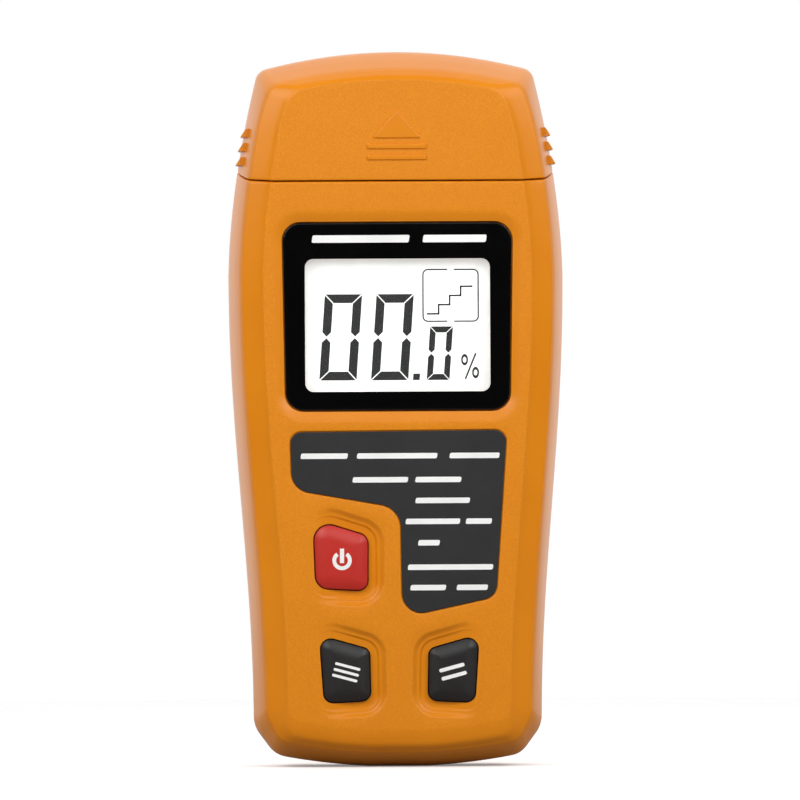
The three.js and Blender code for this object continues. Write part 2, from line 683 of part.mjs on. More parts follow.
/** The rubber contact strip from the LCD glass to the board. */
function zebraStrip() {
  return block(
    [-ZEBRA.halfWidth, LCD_BACK_Y + CONTACT, ZEBRA.bottomZ],
    [ZEBRA.halfWidth, BOARD_FRONT_Y - CONTACT, ZEBRA.bottomZ + ZEBRA.height],
  );
}

function labelPlate() {
  return slab(rounded(LABEL_CORNERS), FRONT_FACE_Y - LABEL_PROUD, FRONT_FACE_Y - LABEL_PROUD + LABEL_THICKNESS);
}

// ---------------------------------------------------------------- keys and switches

/** A key cap: softened crown, straight sides, and a flange that keeps it in the housing. */
function keyCap({ corners }) {
  const edgeY = KEY_TOP_Y + KEY_EDGE.drop;
  const crown = lofted([
    { outline: rounded(grown(corners, -KEY_EDGE.inset)), y: KEY_TOP_Y },
    { outline: rounded(corners), y: edgeY },
    { outline: rounded(corners), y: KEY_BACK_Y },
  ]);
  return crown.add(slab(rounded(grown(corners, KEY_FLANGE)), INNER_FRONT_Y + GAP, KEY_BACK_Y));
}

/** A square switch body with a round well for the plunger. */
function switchBody({ x, z }) {
  const body = block(
    [x - SWITCH_HALF_WIDTH, SWITCH_FRONT_Y, z - SWITCH_HALF_WIDTH],
    [x + SWITCH_HALF_WIDTH, SWITCH_BACK_Y, z + SWITCH_HALF_WIDTH],
  );
  const floorY = SWITCH_FRONT_Y + PLUNGER_SUNK + KEY_TRAVEL + BARELY;
  return body.subtract(rod(x, z, PLUNGER_RADIUS + GAP, SWITCH_FRONT_Y - 1, floorY));
}

function switchPlunger({ x, z }) {
  return rod(x, z, PLUNGER_RADIUS, KEY_BACK_Y + CONTACT, SWITCH_FRONT_Y + PLUNGER_SUNK);
}

// ---------------------------------------------------------------- circuit board

function mainBoard() {
  const outline = [
    [-BOARD.halfWidth, BOARD.topZ, 1],
    [-BOARD.halfWidth, BOARD.bottomZ, 1],
    [-BOARD.tongueHalfWidth, BOARD.bottomZ, 1],
    [-BOARD.tongueHalfWidth, BOARD.tongueBottomZ, 1],
  ];
  const board = slab(rounded([...outline, ...mirrored(outline)], 2), BOARD_FRONT_Y, BOARD_BACK_Y);
  return cutBy(board, [-1, 1].map((side) => (
    rod(side * BOARD_SCREW.x, BOARD_SCREW.z, BOARD_SCREW.radius + GAP, -FAR, FAR, SMALL_SEGMENTS)
  )));
}

function boardChip({ x, z, halfWidth, halfHeight, thickness }) {
  return block(
    [x - halfWidth, BOARD_BACK_Y + CONTACT, z - halfHeight],
    [x + halfWidth, BOARD_BACK_Y + CONTACT + thickness, z + halfHeight],
  );
}

function buzzer() {
  const frontY = BOARD_BACK_Y + CONTACT;
  const can = rod(BUZZER.x, BUZZER.z, BUZZER.radius, frontY, frontY + BUZZER.height);
  return can.subtract(rod(BUZZER.x, BUZZER.z, 1.2, frontY + BUZZER.height - 1.5, FAR, SMALL_SEGMENTS));
}

/** A pan-headed screw driven forwards, with a cross recess in its head. */
function screw(x, z, { headRadius, headHeight, radius }, seatY, tipY) {
  const { halfLength, halfWidth, depth } = CROSS_RECESS;
  const headY = seatY + headHeight;
  const body = rod(x, z, headRadius, seatY, headY, SMALL_SEGMENTS)
    .add(rod(x, z, radius, tipY, seatY + BARELY, SMALL_SEGMENTS));
  return cutBy(body, [
    block([x - halfLength, headY - depth, z - halfWidth], [x + halfLength, headY + 1, z + halfWidth]),
    block([x - halfWidth, headY - depth, z - halfLength], [x + halfWidth, headY + 1, z + halfLength]),
  ]);
}

// ---------------------------------------------------------------- battery

function battery() {
  const { halfWidth, radius } = BATTERY;
  const section = rounded([
    [-halfWidth, -BATTERY_BACK_Y, radius],
    [halfWidth, -BATTERY_BACK_Y, radius],
    [halfWidth, -BATTERY_FRONT_Y, radius],
    [-halfWidth, -BATTERY_FRONT_Y, radius],
  ]);
  const can = new THREE.ExtrudeGeometry(new THREE.Shape(section), { depth: BATTERY.height, bevelEnabled: false })
    .rotateX(Math.PI)
    .translate(0, 0, BATTERY_TOP_Z);
  return joined([
    solidOf(can),
    terminal(-1, TERMINAL.studRadius, 0),
    terminal(1, TERMINAL.cupRadius, 0),
  ]);
}

/** The round space of one battery terminal, with a margin round it. */
function terminal(side, radius, margin) {
  return post(
    side * TERMINAL.x,
    BATTERY_MIDDLE_Y,
    radius + margin,
    BATTERY_TOP_Z - BARELY,
    BATTERY_TOP_Z + TERMINAL.height + margin,
    SMALL_SEGMENTS,
  );
}

function batterySnap() {
  const bottomZ = BATTERY_TOP_Z + GAP;
  const body = block(
    [-SNAP.halfWidth, BATTERY_MIDDLE_Y - SNAP.halfDepth, bottomZ],
    [SNAP.halfWidth, BATTERY_MIDDLE_Y + SNAP.halfDepth, bottomZ + SNAP.height],
  );
  return cutBy(body, [terminal(-1, TERMINAL.studRadius, GAP), terminal(1, TERMINAL.cupRadius, GAP)]);
}

function batteryLead(side) {
  const startZ = BATTERY_TOP_Z + GAP + SNAP.height + GAP;
  const x = 2 * side;
  return wire([
    [x, -0.4, startZ],
    [x, -1.2, startZ + 1.9],
    [x, -2.9, startZ + 4.3],
    [x, BOARD_BACK_Y + GAP, startZ + 6],
  ]);
}

/** The battery door: a flush plate with two hooks at the lower edge and a tongue at the top. */
function batteryDoor() {
  const plate = block(
    [-DOOR.halfWidth, DOOR_INNER_Y, DOOR.bottomZ],
    [DOOR.halfWidth, HALF_DEPTH, DOOR.topZ],
  );
  const tongue = block(
    [-DOOR_TONGUE.halfWidth, DOOR_INNER_Y, DOOR.topZ - BARELY],
    [DOOR_TONGUE.halfWidth, DOOR_INNER_Y + DOOR_TONGUE.thickness, DOOR.topZ + DOOR_TONGUE.length],
  );
  const hooks = [-1, 1].flatMap((side) => {
    const xs = [side * DOOR_HOOK.innerX, side * DOOR_HOOK.outerX].sort((a, b) => a - b);
    return [
      block([xs[0], DOOR_HOOK.frontY, DOOR.bottomZ], [xs[1], DOOR_INNER_Y + BARELY, DOOR_HOOK.topZ]),
      block([xs[0], DOOR_HOOK.frontY, DOOR_HOOK.bottomZ], [xs[1], DOOR_HOOK.backY, DOOR.bottomZ + BARELY]),
    ];
  });
  const scoop = new THREE.CylinderGeometry(SCOOP.radius, SCOOP.radius, 2 * SCOOP.halfLength, 2 * ROUND_SEGMENTS)
    .rotateZ(Math.PI / 2)
    .translate(0, HALF_DEPTH + SCOOP.radius - SCOOP.depth, SCOOP.z);
  return joined([plate, tongue, ...hooks]).subtract(solidOf(scoop));
}

// ---------------------------------------------------------------- finishes

const FINISHES = {
  orangePlastic: { color: 0xdd8a1c, roughness: 0.55, metalness: 0 },
  blackPlastic: { color: 0x161616, roughness: 0.5, metalness: 0 },
  windowPlastic: { color: 0x0a0a0a, roughness: 0.08, metalness: 0 },
  labelSheet: { color: 0x2f2f30, roughness: 0.5, metalness: 0 },
  lcdGlass: { color: 0xe9ece6, roughness: 0.2, metalness: 0 },
  whitePlastic: { color: 0xe6e6e2, roughness: 0.5, metalness: 0 },
  rubber: { color: 0x5a5a5a, roughness: 0.9, metalness: 0 },
  board: { color: 0x1f5c36, roughness: 0.45, metalness: 0 },
  brass: { color: 0xc9a24a, roughness: 0.3, metalness: 1 },
  steel: { color: 0xb9bcc0, roughness: 0.28, metalness: 1 },
  batteryCan: { color: 0x2b3038, roughness: 0.35, metalness: 0.6 },
  redLead: { color: 0xb01818, roughness: 0.5, metalness: 0 },
  blackLead: { color: 0x141414, roughness: 0.5, metalness: 0 },
};

const group = new THREE.Group();

/** Adds one named piece, with its own material, to the assembly. */
function add(name, solid, finish) {
  const mesh = new THREE.Mesh(geometryOf(solid), new THREE.MeshStandardMaterial(finish));
  mesh.name = name;
  group.add(mesh);
}

// ---------------------------------------------------------------- assembly

add('front_shell', frontShell(), FINISHES.orangePlastic);
add('rear_shell', rearShell(), FINISHES.orangePlastic);
add('pin_cap', pinCap(), FINISHES.orangePlastic);
add('display_window', displayWindow(), FINISHES.windowPlastic);
add('label_plate', labelPlate(), FINISHES.labelSheet);
add('lcd_panel', lcdPanel(), FINISHES.lcdGlass);
add('lcd_frame', lcdFrame(), FINISHES.whitePlastic);
add('zebra_strip', zebraStrip(), FINISHES.rubber);
add('main_board', mainBoard(), FINISHES.board);
add('buzzer', buzzer(), FINISHES.blackPlastic);
for (const chip of CHIPS) {
  add(chip.name, boardChip(chip), FINISHES.blackPlastic);
}
for (const key of KEYS) {
  add(`${key.name}_button`, keyCap(key), { ...FINISHES.blackPlastic, color: key.colour });
  add(`${key.name}_switch_body`, switchBody(key), FINISHES.steel);
  add(`${key.name}_switch_plunger`, switchPlunger(key), FINISHES.blackPlastic);
}
add('battery', battery(), FINISHES.batteryCan);
add('battery_snap', batterySnap(), FINISHES.blackPlastic);
add('battery_lead_red', batteryLead(-1), FINISHES.redLead);
add('battery_lead_black', batteryLead(1), FINISHES.blackLead);
add('battery_door', batteryDoor(), FINISHES.orangePlastic);
add('pin_block', pinBlock(), FINISHES.blackPlastic);
for (const [word, side] of [['left', -1], ['right', 1]]) {
  const headY = BOARD_BACK_Y + CONTACT;
  add(`pin_socket_${word}`, pinSocket(side), FINISHES.brass);
  add(`electrode_pin_${word}`, electrodePin(side), FINISHES.steel);
  add(`pin_lead_${word}`, pinLead(side), FINISHES.redLead);
  add(
    `board_screw_${word}`,
    screw(side * BOARD_SCREW.x, BOARD_SCREW.z, BOARD_SCREW, headY, headY - BOARD_SCREW.length),
    FINISHES.steel,
  );
}
CASE_SCREW_PLACES.forEach(([x, z], index) => {
  const body = screw(x, z, CASE_SCREW, CASE_SCREW.seatY + BARELY, CASE_SCREW.tipY);
  add(`case_screw_${index + 1}`, body, FINISHES.steel);
});

export default group;
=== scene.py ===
"""Looks of a two-pin wood moisture meter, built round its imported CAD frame.

Metres, +Z up, the display faces -Y and +X is to the right of the display.
"""
import math

import bmesh
import bpy
import numpy as np
from mathutils import Matrix, Vector
from mathutils.geometry import delaunay_2d_cdt


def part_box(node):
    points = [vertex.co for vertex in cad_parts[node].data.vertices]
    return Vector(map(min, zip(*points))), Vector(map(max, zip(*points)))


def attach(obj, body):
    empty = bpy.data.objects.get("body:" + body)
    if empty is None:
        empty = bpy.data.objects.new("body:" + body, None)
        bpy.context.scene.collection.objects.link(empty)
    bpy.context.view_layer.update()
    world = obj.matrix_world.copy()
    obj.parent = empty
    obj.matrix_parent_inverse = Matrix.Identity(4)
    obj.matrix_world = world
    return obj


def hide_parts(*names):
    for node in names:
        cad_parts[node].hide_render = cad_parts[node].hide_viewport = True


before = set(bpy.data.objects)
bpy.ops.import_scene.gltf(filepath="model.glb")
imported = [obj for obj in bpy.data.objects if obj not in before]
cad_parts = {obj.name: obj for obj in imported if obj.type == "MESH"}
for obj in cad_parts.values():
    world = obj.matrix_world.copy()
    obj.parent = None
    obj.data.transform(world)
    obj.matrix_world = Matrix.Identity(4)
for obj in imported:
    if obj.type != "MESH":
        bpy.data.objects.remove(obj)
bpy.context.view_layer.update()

MM = 0.001


def mm(**sizes):
    """Sizes given in millimetres, by name."""
    return {name: size * MM for name, size in sizes.items()}


# ---------------- sizes from the frame

WINDOW_LOW, WINDOW_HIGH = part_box("display_window")
DOOR_LOW, DOOR_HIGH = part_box("battery_door")
BATTERY_LOW, BATTERY_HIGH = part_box("battery")

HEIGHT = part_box("pin_cap")[1].z
HALF_DEPTH = DOOR_HIGH.y
WINDOW_FRONT_Y = WINDOW_LOW.y
WINDOW_BACK_Y = WINDOW_HIGH.y
LABEL_BACK_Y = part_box("label_plate")[1].y
LCD_FRONT_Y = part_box("lcd_panel")[0].y
KEY_TOP_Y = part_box("power_button")[0].y
BOARD_FRONT_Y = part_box("main_board")[0].y
SCREW_TIP_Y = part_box("case_screw_1")[0].y

# ---------------- driving dimensions

HALF_WIDTH = 33.75 * MM
FRONT_FACE_Y = -14.2 * MM
WALL = 2 * MM
GAP = 0.3 * MM
CONTACT = 0.05 * MM
HAIR = 0.02 * MM                    # stands in for an upright step in a sheet of heights
OVERRUN = 1 * MM                    # how far a cutting tool runs past what it cuts
FAR = 0.2
ROUND_STEPS = 96
LEAST_RADIUS = 0.15 * MM
OUTLINE_SPACING = 0.6 * MM
PLATEAU_SPACING = 2 * MM
SOFT_ANGLE = math.radians(32)       # edges sharper than this stay sharp

HEEL_Z = 8 * MM
HEEL_HALF_WIDTH = 29.1 * MM
HEEL_RADIUS = 6 * MM
WIDEST_Z = 98 * MM
TOP_CORNER_Z = 140.2 * MM
TOP_CORNER_HALF_WIDTH = 27.7 * MM
TOP_CORNER_RADIUS = 2.9 * MM
TAPER_POWER = 1.75
SHOULDER_Z = 126.8 * MM             # above this the sides run on to the top corners

REST_HALF_WIDTH = 6 * MM
TOE_HALF_WIDTH = 24.9 * MM
TOE_RADIUS = 4.6 * MM
TOE_SHRINK = 0.2                    # how fast that radius falls as the outline draws in
LOWER_ARC_RADIUS = 125 * MM

# how the outline draws in towards the front face and the back: y, sides, top, lower end
DEPTH_ROWS = MM * np.array([
    [-14.2, 7.2, 6.4, 7.75],
    [-14.2, 6.9, 6.1, 7.55],
    [-13.65, 6, 5.2, 4.6],
    [-12.4, 3.26, 4.31, 3.31],
    [-12.1, 2.6, 4.1, 3],
    [-11.8, 2.43, 3.93, 2.8],
    [-11.2, 2.1, 3.6, 2.4],
    [-8.5, 1.3, 2.5, 1.1],
    [-5, 0.6, 1.2, 0],
    [-1.5, 0.1, 0.2, 0],
    [1.5, 0, 0, 0],
    [5, 0.3, 0.3, 0],
    [8.5, 1, 0.9, 0.2],
    [11.5, 2.4, 2.3, 1.1],
    [13.6, 4.6, 4.5, 2.5],
    [14.6, 6.5, 6.4, 3.7],
    [15, 8.5, 8.4, 5],
    [15, 9.3, 9.2, 5.6],
])
ROW_STEPS = 4
ROUGH_ROW_STEPS = 2
ROUGH_DIVISIONS = 0.4
OUTLINE_COUNTS = (40, 10, 200, 46)   # along the lower end, from toe to heel, up the side, over the top
ARC_COUNT = 10
LINE_SAMPLES = 60
SIDE_SAMPLES = 400
CORNER_GROWTH = 0.5
TOE_DRAW_IN = 0.35
HEEL_LIFT = 0.85

CAP_CUT_Z = 117.7 * MM
CAP_CUT_TILT = math.radians(8)
EDGE_RADIUS = 0.3 * MM              # rounding on the edges where the casings meet
EDGE_LINES = (1, 0.6, 0.3, 0.1)
LIP_INSET = 1.05 * MM
LIP_REACH = 0.9 * MM
LIP_TOP_Z = 119.2 * MM
EDGE_OFFSETS = np.array([0, 0.12, 0.35, 0.65, 1])

CAP_NORMAL = np.array([0, -math.sin(CAP_CUT_TILT), math.cos(CAP_CUT_TILT)])
CAP_PLACE = np.array([0, FRONT_FACE_Y, CAP_CUT_Z])
INNER_FRONT_Y = FRONT_FACE_Y * (1 - WALL / HALF_DEPTH)
SEAT_BACK_Y = LCD_FRONT_Y - CONTACT

RIB_TOPS_Z = [128.5 * MM, 125.65 * MM, 122.8 * MM]
RIB_HEIGHT = 1.7 * MM
RIB_REACH = 0.7 * MM
RIB_HALF_LENGTH = 6.5 * MM
RIB_END = 1 * MM                    # the length over which a rib dies away
RIB_END_FALL = 1.35
RIB_RINGS = 41
RIB_ROOT = 1.8 * MM
RIB_TOP_SUNK = 0.1 * MM
RIB_RADII = mm(root=0.05, low=0.18, top=0.3)

MARK_RELIEF = 0.35 * MM
ARROW_CORNERS = MM * np.array([[-5.05, 126.3, 0.25], [5.05, 126.3, 0.25], [0, 131.8, 0.25]])
PULL_BAR_TOPS_Z = [125.2 * MM, 123 * MM]
PULL_BAR_HALF_WIDTH = 6.05 * MM
PULL_BAR_HEIGHT = 1.1 * MM
PULL_BAR_RADIUS = 0.25 * MM
MARK_EDGE = 0.3 * MM

WINDOW_RADIUS = 3.5 * MM
WINDOW_MOUTH = 2.4 * MM
WINDOW_TAPER = 0.6 * MM             # how much further in each side is at the lower end
WINDOW_EDGE = 0.2 * MM
RECESS_CURVE = 1.6
RECESS_LINES = np.linspace(-0.05, 1, 12)
SIGHT_HALF_WIDTH = 18.6 * MM
SIGHT_LOW_Z = 75.4 * MM
SIGHT_HIGH_Z = 102.1 * MM
SIGHT_RADIUS = 1.7 * MM
SIGHT_HOLE_MARGIN = 1 * MM
SIGHT_HOLE_RADIUS = 2.2 * MM
PANE_THICKNESS = 0.5 * MM
PANE_GAP = 0.03 * MM
PANE_EDGE = 0.08 * MM

LABEL_CORNERS = MM * np.array([
    [-21.7, 67.3, 2.2],
    [-21.4, 55.8, 4],
    [0.4, 52, 4.8],
    [0.7, 30, 3.9],
    [19.5, 34.1, 3],
    [21.8, 67.6, 2.3],
])
LABEL_GAP = 0.12 * MM
LABEL_EDGE = 0.3 * MM
SHEET_EDGE = 0.1 * MM

POWER_CORNERS = MM * np.array([[-17.1, 49.75, 3], [-16.6, 36.05, 2.6], [-6.35, 35.55, 1.8], [-6.3, 46.35, 2]])
MODE_CORNERS = MM * np.array([[-15.9, 26.35, 2], [-15, 13, 1.8], [-5.9, 13.5, 1.7], [-6.1, 23.55, 1.5]])
HOLD_CORNERS = (MODE_CORNERS * (-1, 1, 1))[::-1]
KEYS = {
    "power": {"corners": POWER_CORNERS, "outer_side": -1, "finish": "red_key"},
    "mode": {"corners": MODE_CORNERS, "outer_side": -1, "finish": "dark_key"},
    "hold": {"corners": HOLD_CORNERS, "outer_side": 1, "finish": "dark_key"},
}
KEY_GAP = 0.28 * MM
KEY_FLANGE = 0.9 * MM
KEY_FLANGE_THICKNESS = 0.75 * MM
KEY_CROWN = {"inset": 3.1 * MM, "drop": 0.95 * MM, "curve": 2.2, "steps": 13}
KEY_BACK_Y = INNER_FRONT_Y + GAP + KEY_FLANGE_THICKNESS
POCKET_STEPS = MM * np.array([[1.5, 2.1, 0.35], [2.25, 3.65, 0.7]])  # start and end outside the key, depth
POCKET_FADE = mm(outside=1, inside=7)
POCKET_LINES = 7
KEY_EDGE_LINE = 0.2 * MM

CASE_SCREWS = MM * np.array([[-21.5, 112.5], [21.5, 112.5], [-20.3, 11.5], [20.3, 11.5]])
CASE_SCREW_SEAT_Y = 7.2 * MM
COUNTERBORE_RADIUS = 2.9 * MM
CASE_SCREW_RADIUS = 1.2 * MM
FRONT_BOSS_RADIUS = 2.9 * MM
BACK_BOSS_RADIUS = 4 * MM
BOARD_POSTS = MM * np.array([[-18, 69.3], [18, 69.3]])
BOARD_POST_RADIUS = 2.3 * MM
BOARD_SCREW_RADIUS = 0.95 * MM

DOOR_HALF_WIDTH = DOOR_HIGH.x
DOOR_BOTTOM_Z = 8.3 * MM
DOOR_TOP_Z = 67 * MM
DOOR_THICKNESS = 1.6 * MM
DOOR_RADIUS = 1.6 * MM
DOOR_EDGE = 0.3 * MM
TONGUE_HALF_WIDTH = 5 * MM
TONGUE_THICKNESS = 1 * MM
HOOK = mm(inner=6, outer=11, front=11.6, back=12.7, top=9)
BAY_WALL = 1.2 * MM
BAY_CLEARANCE = 0.4 * MM
BAY_TOP_Z = 64.7 * MM
LEDGE_BORDER = 1.8 * MM
LEDGE_DEPTH = 1.2 * MM
SCOOP_RADIUS = 12 * MM
SCOOP_DEPTH = 1.2 * MM
SCOOP_HALF_LENGTH = 7 * MM
SCOOP_Z = 71.5 * MM
GROOVE_COUNT = 5
GROOVES = mm(top=62, pitch=2, height=0.8, depth=0.5)
GROOVE_HALF_WIDTH = 6 * MM
GROOVE_RADIUS = 0.35 * MM
HOOK_SLOT_DEEPER = 0.8 * MM
HOOK_SLOT_LOW_Z = 5.1 * MM
SNAP_NOTCH = mm(half_width=4, back=1.5)
BAY_LOW = Vector((BATTERY_LOW.x - BAY_CLEARANCE, BATTERY_LOW.y - GAP, BATTERY_LOW.z - BAY_CLEARANCE))
BAY_HIGH = Vector((BATTERY_HIGH.x + BAY_CLEARANCE, HALF_DEPTH - DOOR_THICKNESS - GAP, BAY_TOP_Z))

# ---------------- display and printing

DIGIT_SLANT = math.tan(math.radians(4))
DIGIT_FOOT_Z = 77.7 * MM
DIGIT_HEIGHT = 17.3 * MM
DIGIT_WIDTH = 7.5 * MM
DIGIT_THICK = 1.75 * MM
DIGIT_GAP = 0.16 * MM
DIGIT_LEFTS = [-15.75 * MM, -5.35 * MM]
SMALL_DIGIT = mm(left=5.85, width=4.6, height=10.75, thick=1.2, gap=0.11)
POINT_MARK = mm(left=3.1, width=1.35, height=1.3)
PERCENT = mm(left=12.8, right=16.4, lift=0.3, height=4.9, width=0.34)
PERCENT_SLASH = mm(left=0.9, right=0.7)
PERCENT_RING = {"radius": 0.7 * MM, "tall": 1.65, "steps": 16}
ICON = mm(left=5.2, right=16.3, low=89.5, high=99.9, width=0.27)
ICON_RADIUS = 1 * MM
ICON_OPENING = 0.8 * MM
ICON_STEPS = mm(left=6.1, right=15, low=91, high=96.5, width=0.34)
ICON_STEP_COUNT = 4

PRINT_RELIEF = 0.03 * MM
PRINT_SLANT = math.tan(math.radians(9))
PRINT_RADIUS = 0.3 * MM
LABEL_BAR_HEIGHT = 1.1 * MM
LABEL_LINES = MM * np.array([
    [62.5, -19.6, -10.2],
    [62.5, -8.3, 7.8],
    [62.5, 10.3, 20.3],
    [57.7, -9.2, 1.9],
    [57.7, 3.4, 12.6],
    [53.5, 3.4, 14.3],
    [49.3, 1.4, 12.3],
    [49.3, 13.5, 18.7],
    [45, 3.9, 8.2],
    [40.1, 1.8, 18.9],
    [36, 2.3, 9.4],
    [36, 11.6, 17.8],
])
TITLE_BAR_HEIGHT = 1.5 * MM
TITLE_LINES = MM * np.array([[106.1, -17.1, 2.4], [106.1, 5.2, 17.9]])

KEY_FACE_Y = KEY_TOP_Y + PRINT_RELIEF
KEY_PRINT_SUNK = 0.1 * MM
POWER_MARK = mm(x=-11.45, z=41.55, radius=1.95, ring=0.78, bar=0.85)
POWER_MARK_FOOT = 0.1 * MM
POWER_MARK_GAP = math.radians(36)
KEY_BAR_HALF_WIDTH = 2.6 * MM
KEY_BAR_ROUNDING = 0.4
KEY_BARS = {
    "mode": {"count": 3, "height": 0.55 * MM, "pitch": 1.2 * MM, "turn": math.radians(-15)},
    "hold": {"count": 2, "height": 0.75 * MM, "pitch": 1.7 * MM, "turn": math.radians(15)},
}

# ---------------- materials and studio

NOISE_LOW = 0.3                     # most of a noise lies between these two values
NOISE_HIGH = 0.7
CLOUD_SIZE = 9 * MM
GLOSS_SIZE = 2 * MM
GLOSS_SPREAD = 0.04
ORANGE_DARK = (220, 129, 4)
ORANGE_LIGHT = (224, 134, 7)
ORANGE_CLOUD_SIZE = 14 * MM
SPECKLE_DARK = (214, 123, 4)
SPECKLE_LIGHT = (232, 145, 14)
SPECKLE_SIZE = 0.28 * MM
FACE_TEXTURE_FROM = 13.9 * MM
FACE_TEXTURE_TO = 14.15 * MM
MARK_TEXTURE_TO = 14.25 * MM
MARK_SMOOTH_FROM = 14.35 * MM
WEAVES_PER_METRE = 1 / (1.2 * MM)
PAD_PITCH = 2.54 * MM
BATTERY_BAND_Z = BATTERY_LOW.z + 0.66 * (BATTERY_HIGH.z - BATTERY_LOW.z)
BAND_BLUR = 0.1 * MM
ROUND_BRUSHING = (300, 300, 4000)
UPRIGHT_BRUSHING = (2000, 2000, 90)
FINE_GRAIN = 0.01 * MM
NODE_BEVEL = {"width": 0.12 * MM, "segments": 2, "limit_method": "ANGLE", "angle_limit": math.radians(40)}

FLOOR_RADIUS = 0.55
FLOOR_LEVELS = (-0.001, -0.0001)
FLOOR_BOUNCE = (0.36, 0.36, 0.36)    # how much light the floor throws back at the object
FLOOR_GLOW = 0.22
FLOOR_CLOUD_SIZE = 0.2
# how the surroundings brighten from the front to the back
WORLD_FADE = {"From Min": -0.75, "From Max": 0.7, "To Min": 0.08, "To Max": 1.15}
SOFT_BOX = {"side": 0.58, "front": -0.64, "height": 0.55, "width": 0.3, "tall": 0.6, "power": 3.3}
PANEL = {"side": 0, "front": -0.35, "height": 0.29, "width": 0.5, "tall": 0.3, "power": 0.8}
CAMERA_DISTANCE = 2.5
CAMERA_YAW = math.radians(-1.5)
CAMERA_ROLL = math.radians(-0.3)
CAMERA_AIM = Vector((0.75 * MM, 0, 73.7 * MM))
CAMERA_VIEW = HEIGHT * 1.122        # the height of the picture where the object stands


# ---------------- outlines in x and z

def unit(vector):
    return vector / np.linalg.norm(vector)


def cross(a, b):
    return a[0] * b[1] - a[1] * b[0]


def fillet(corner, before, after, radius, steps):
    """An arc that rounds a corner, given the directions of the lines that leave it."""
    half = math.acos(np.clip(before @ after, -1, 1)) / 2
    centre = corner + unit(before + after) * radius / math.sin(half)
    reach = radius / math.tan(half)
    start = corner + before * reach - centre
    end = corner + after * reach - centre
    sweep = math.atan2(cross(start, end), start @ end)
    turns = sweep * np.linspace(0, 1, steps + 1)[:, None]
    return centre + start * np.cos(turns) + np.array([-start[1], start[0]]) * np.sin(turns)


def rounded(corners, steps=8):
    """The outline of a polygon of [x, z, radius] corners, with each radius as an arc."""
    arcs = []
    for index, (x, z, radius) in enumerate(corners):
        corner = np.array([x, z])
        before = unit(corners[index - 1][:2] - corner)
        after = unit(corners[(index + 1) % len(corners)][:2] - corner)
        arcs.append(fillet(corner, before, after, radius, steps))
    return np.concatenate(arcs)


def grown(corners, distance):
    """Counter-clockwise corners moved out square to the edges; a negative distance moves them in."""
    moved = []
    for index, (x, z, radius) in enumerate(corners):
        edge_in = unit(np.array([x, z]) - corners[index - 1][:2])
        edge_out = unit(corners[(index + 1) % len(corners)][:2] - np.array([x, z]))
        mitre = distance / (1 + edge_in @ edge_out)
        turns_in = cross(edge_in, edge_out) < 0
        moved.append([
            x + mitre * (edge_in[1] + edge_out[1]),
            z - mitre * (edge_in[0] + edge_out[0]),
            max(radius + (-distance if turns_in else distance), LEAST_RADIUS),
        ])
    return np.array(moved)


def panel(half_width, low_z, high_z, radius, middle_x=0.0):
    """The corners of an upright rounded rectangle."""
    left, right = middle_x - half_width, middle_x + half_width
    places = [(left, low_z), (right, low_z), (right, high_z), (left, high_z)]
    return np.array([(x, z, radius) for x, z in places])


def dense(outline):
    """The same closed outline with its long edges divided."""
    pieces = []
    for start, end in zip(outline, np.roll(outline, -1, axis=0)):
        count = max(1, math.ceil(np.linalg.norm(end - start) / OUTLINE_SPACING))
        pieces.append(start + (end - start) * (np.arange(count) / count)[:, None])
    return np.concatenate(pieces)


def distance_outside(points, outline):
    """How far each point lies outside a closed outline; negative inside it."""
    start = outline
    along = np.roll(outline, -1, axis=0) - start
    to_point = points[:, None, :] - start[None]
    share = np.clip((to_point * along).sum(2) / (along ** 2).sum(1), 0, 1)
    nearest = np.linalg.norm(to_point - share[..., None] * along, axis=2).min(1)
    x, z = points[:, :1], points[:, 1:]
    x0, z0 = start.T
    x1, z1 = (start + along).T
    rise = np.where(z1 == z0, 1, z1 - z0)
    crossed = ((z0 > z) != (z1 > z)) & (x < x0 + (z - z0) * (x1 - x0) / rise)
    return np.where(crossed.sum(1) % 2 == 1, -nearest, nearest)


def trimmed(points, cut_start, cut_end, count):
    """A line shortened at both ends and divided evenly."""
    steps = np.linalg.norm(np.diff(points, axis=0), axis=1)
    lengths = np.concatenate([[0], np.cumsum(steps)])
    where = np.linspace(cut_start, lengths[-1] - cut_end, count)
    return np.column_stack([np.interp(where, lengths, points[:, axis]) for axis in (0, 1)])


def smooth_step(low, high, value):
    share = np.clip((value - low) / (high - low), 0, 1)
    return share * share * (3 - 2 * share)


# ---------------- the outer form

def half_width_at(z):
    down = np.clip((WIDEST_Z - z) / (WIDEST_Z - HEEL_Z), 0, 1)
    up = np.clip((z - WIDEST_Z) / (TOP_CORNER_Z - WIDEST_Z), 0, None)
    below = (HALF_WIDTH - HEEL_HALF_WIDTH) * (1 - np.cos(np.pi * down)) / 2
    above = (HALF_WIDTH - TOP_CORNER_HALF_WIDTH) * up ** TAPER_POWER
    return HALF_WIDTH - below - above


def top_edge_at(x):
    return HEIGHT - (HEIGHT - TOP_CORNER_Z) * (x / TOP_CORNER_HALF_WIDTH) ** 2


def lower_edge_at(x):
    return np.maximum(x ** 2 - REST_HALF_WIDTH ** 2, 0) / (2 * LOWER_ARC_RADIUS)


def side_line(sides, heel_z, crown_x, crown_z):
    """The side from the heel up to the top corner, bending evenly over its last stretch."""
    z = np.linspace(heel_z, crown_z, SIDE_SAMPLES)
    shoulder_x = half_width_at(SHOULDER_Z)
    slope = (half_width_at(SHOULDER_Z + MM) - half_width_at(SHOULDER_Z - MM)) / (2 * MM)
    rise = crown_z - SHOULDER_Z
    bend = (crown_x + sides - shoulder_x - slope * rise) / rise ** 2
    over = np.maximum(z - SHOULDER_Z, 0)
    x = np.where(z < SHOULDER_Z, half_width_at(z), shoulder_x + slope * over + bend * over ** 2)
    return np.column_stack([x - sides, z])


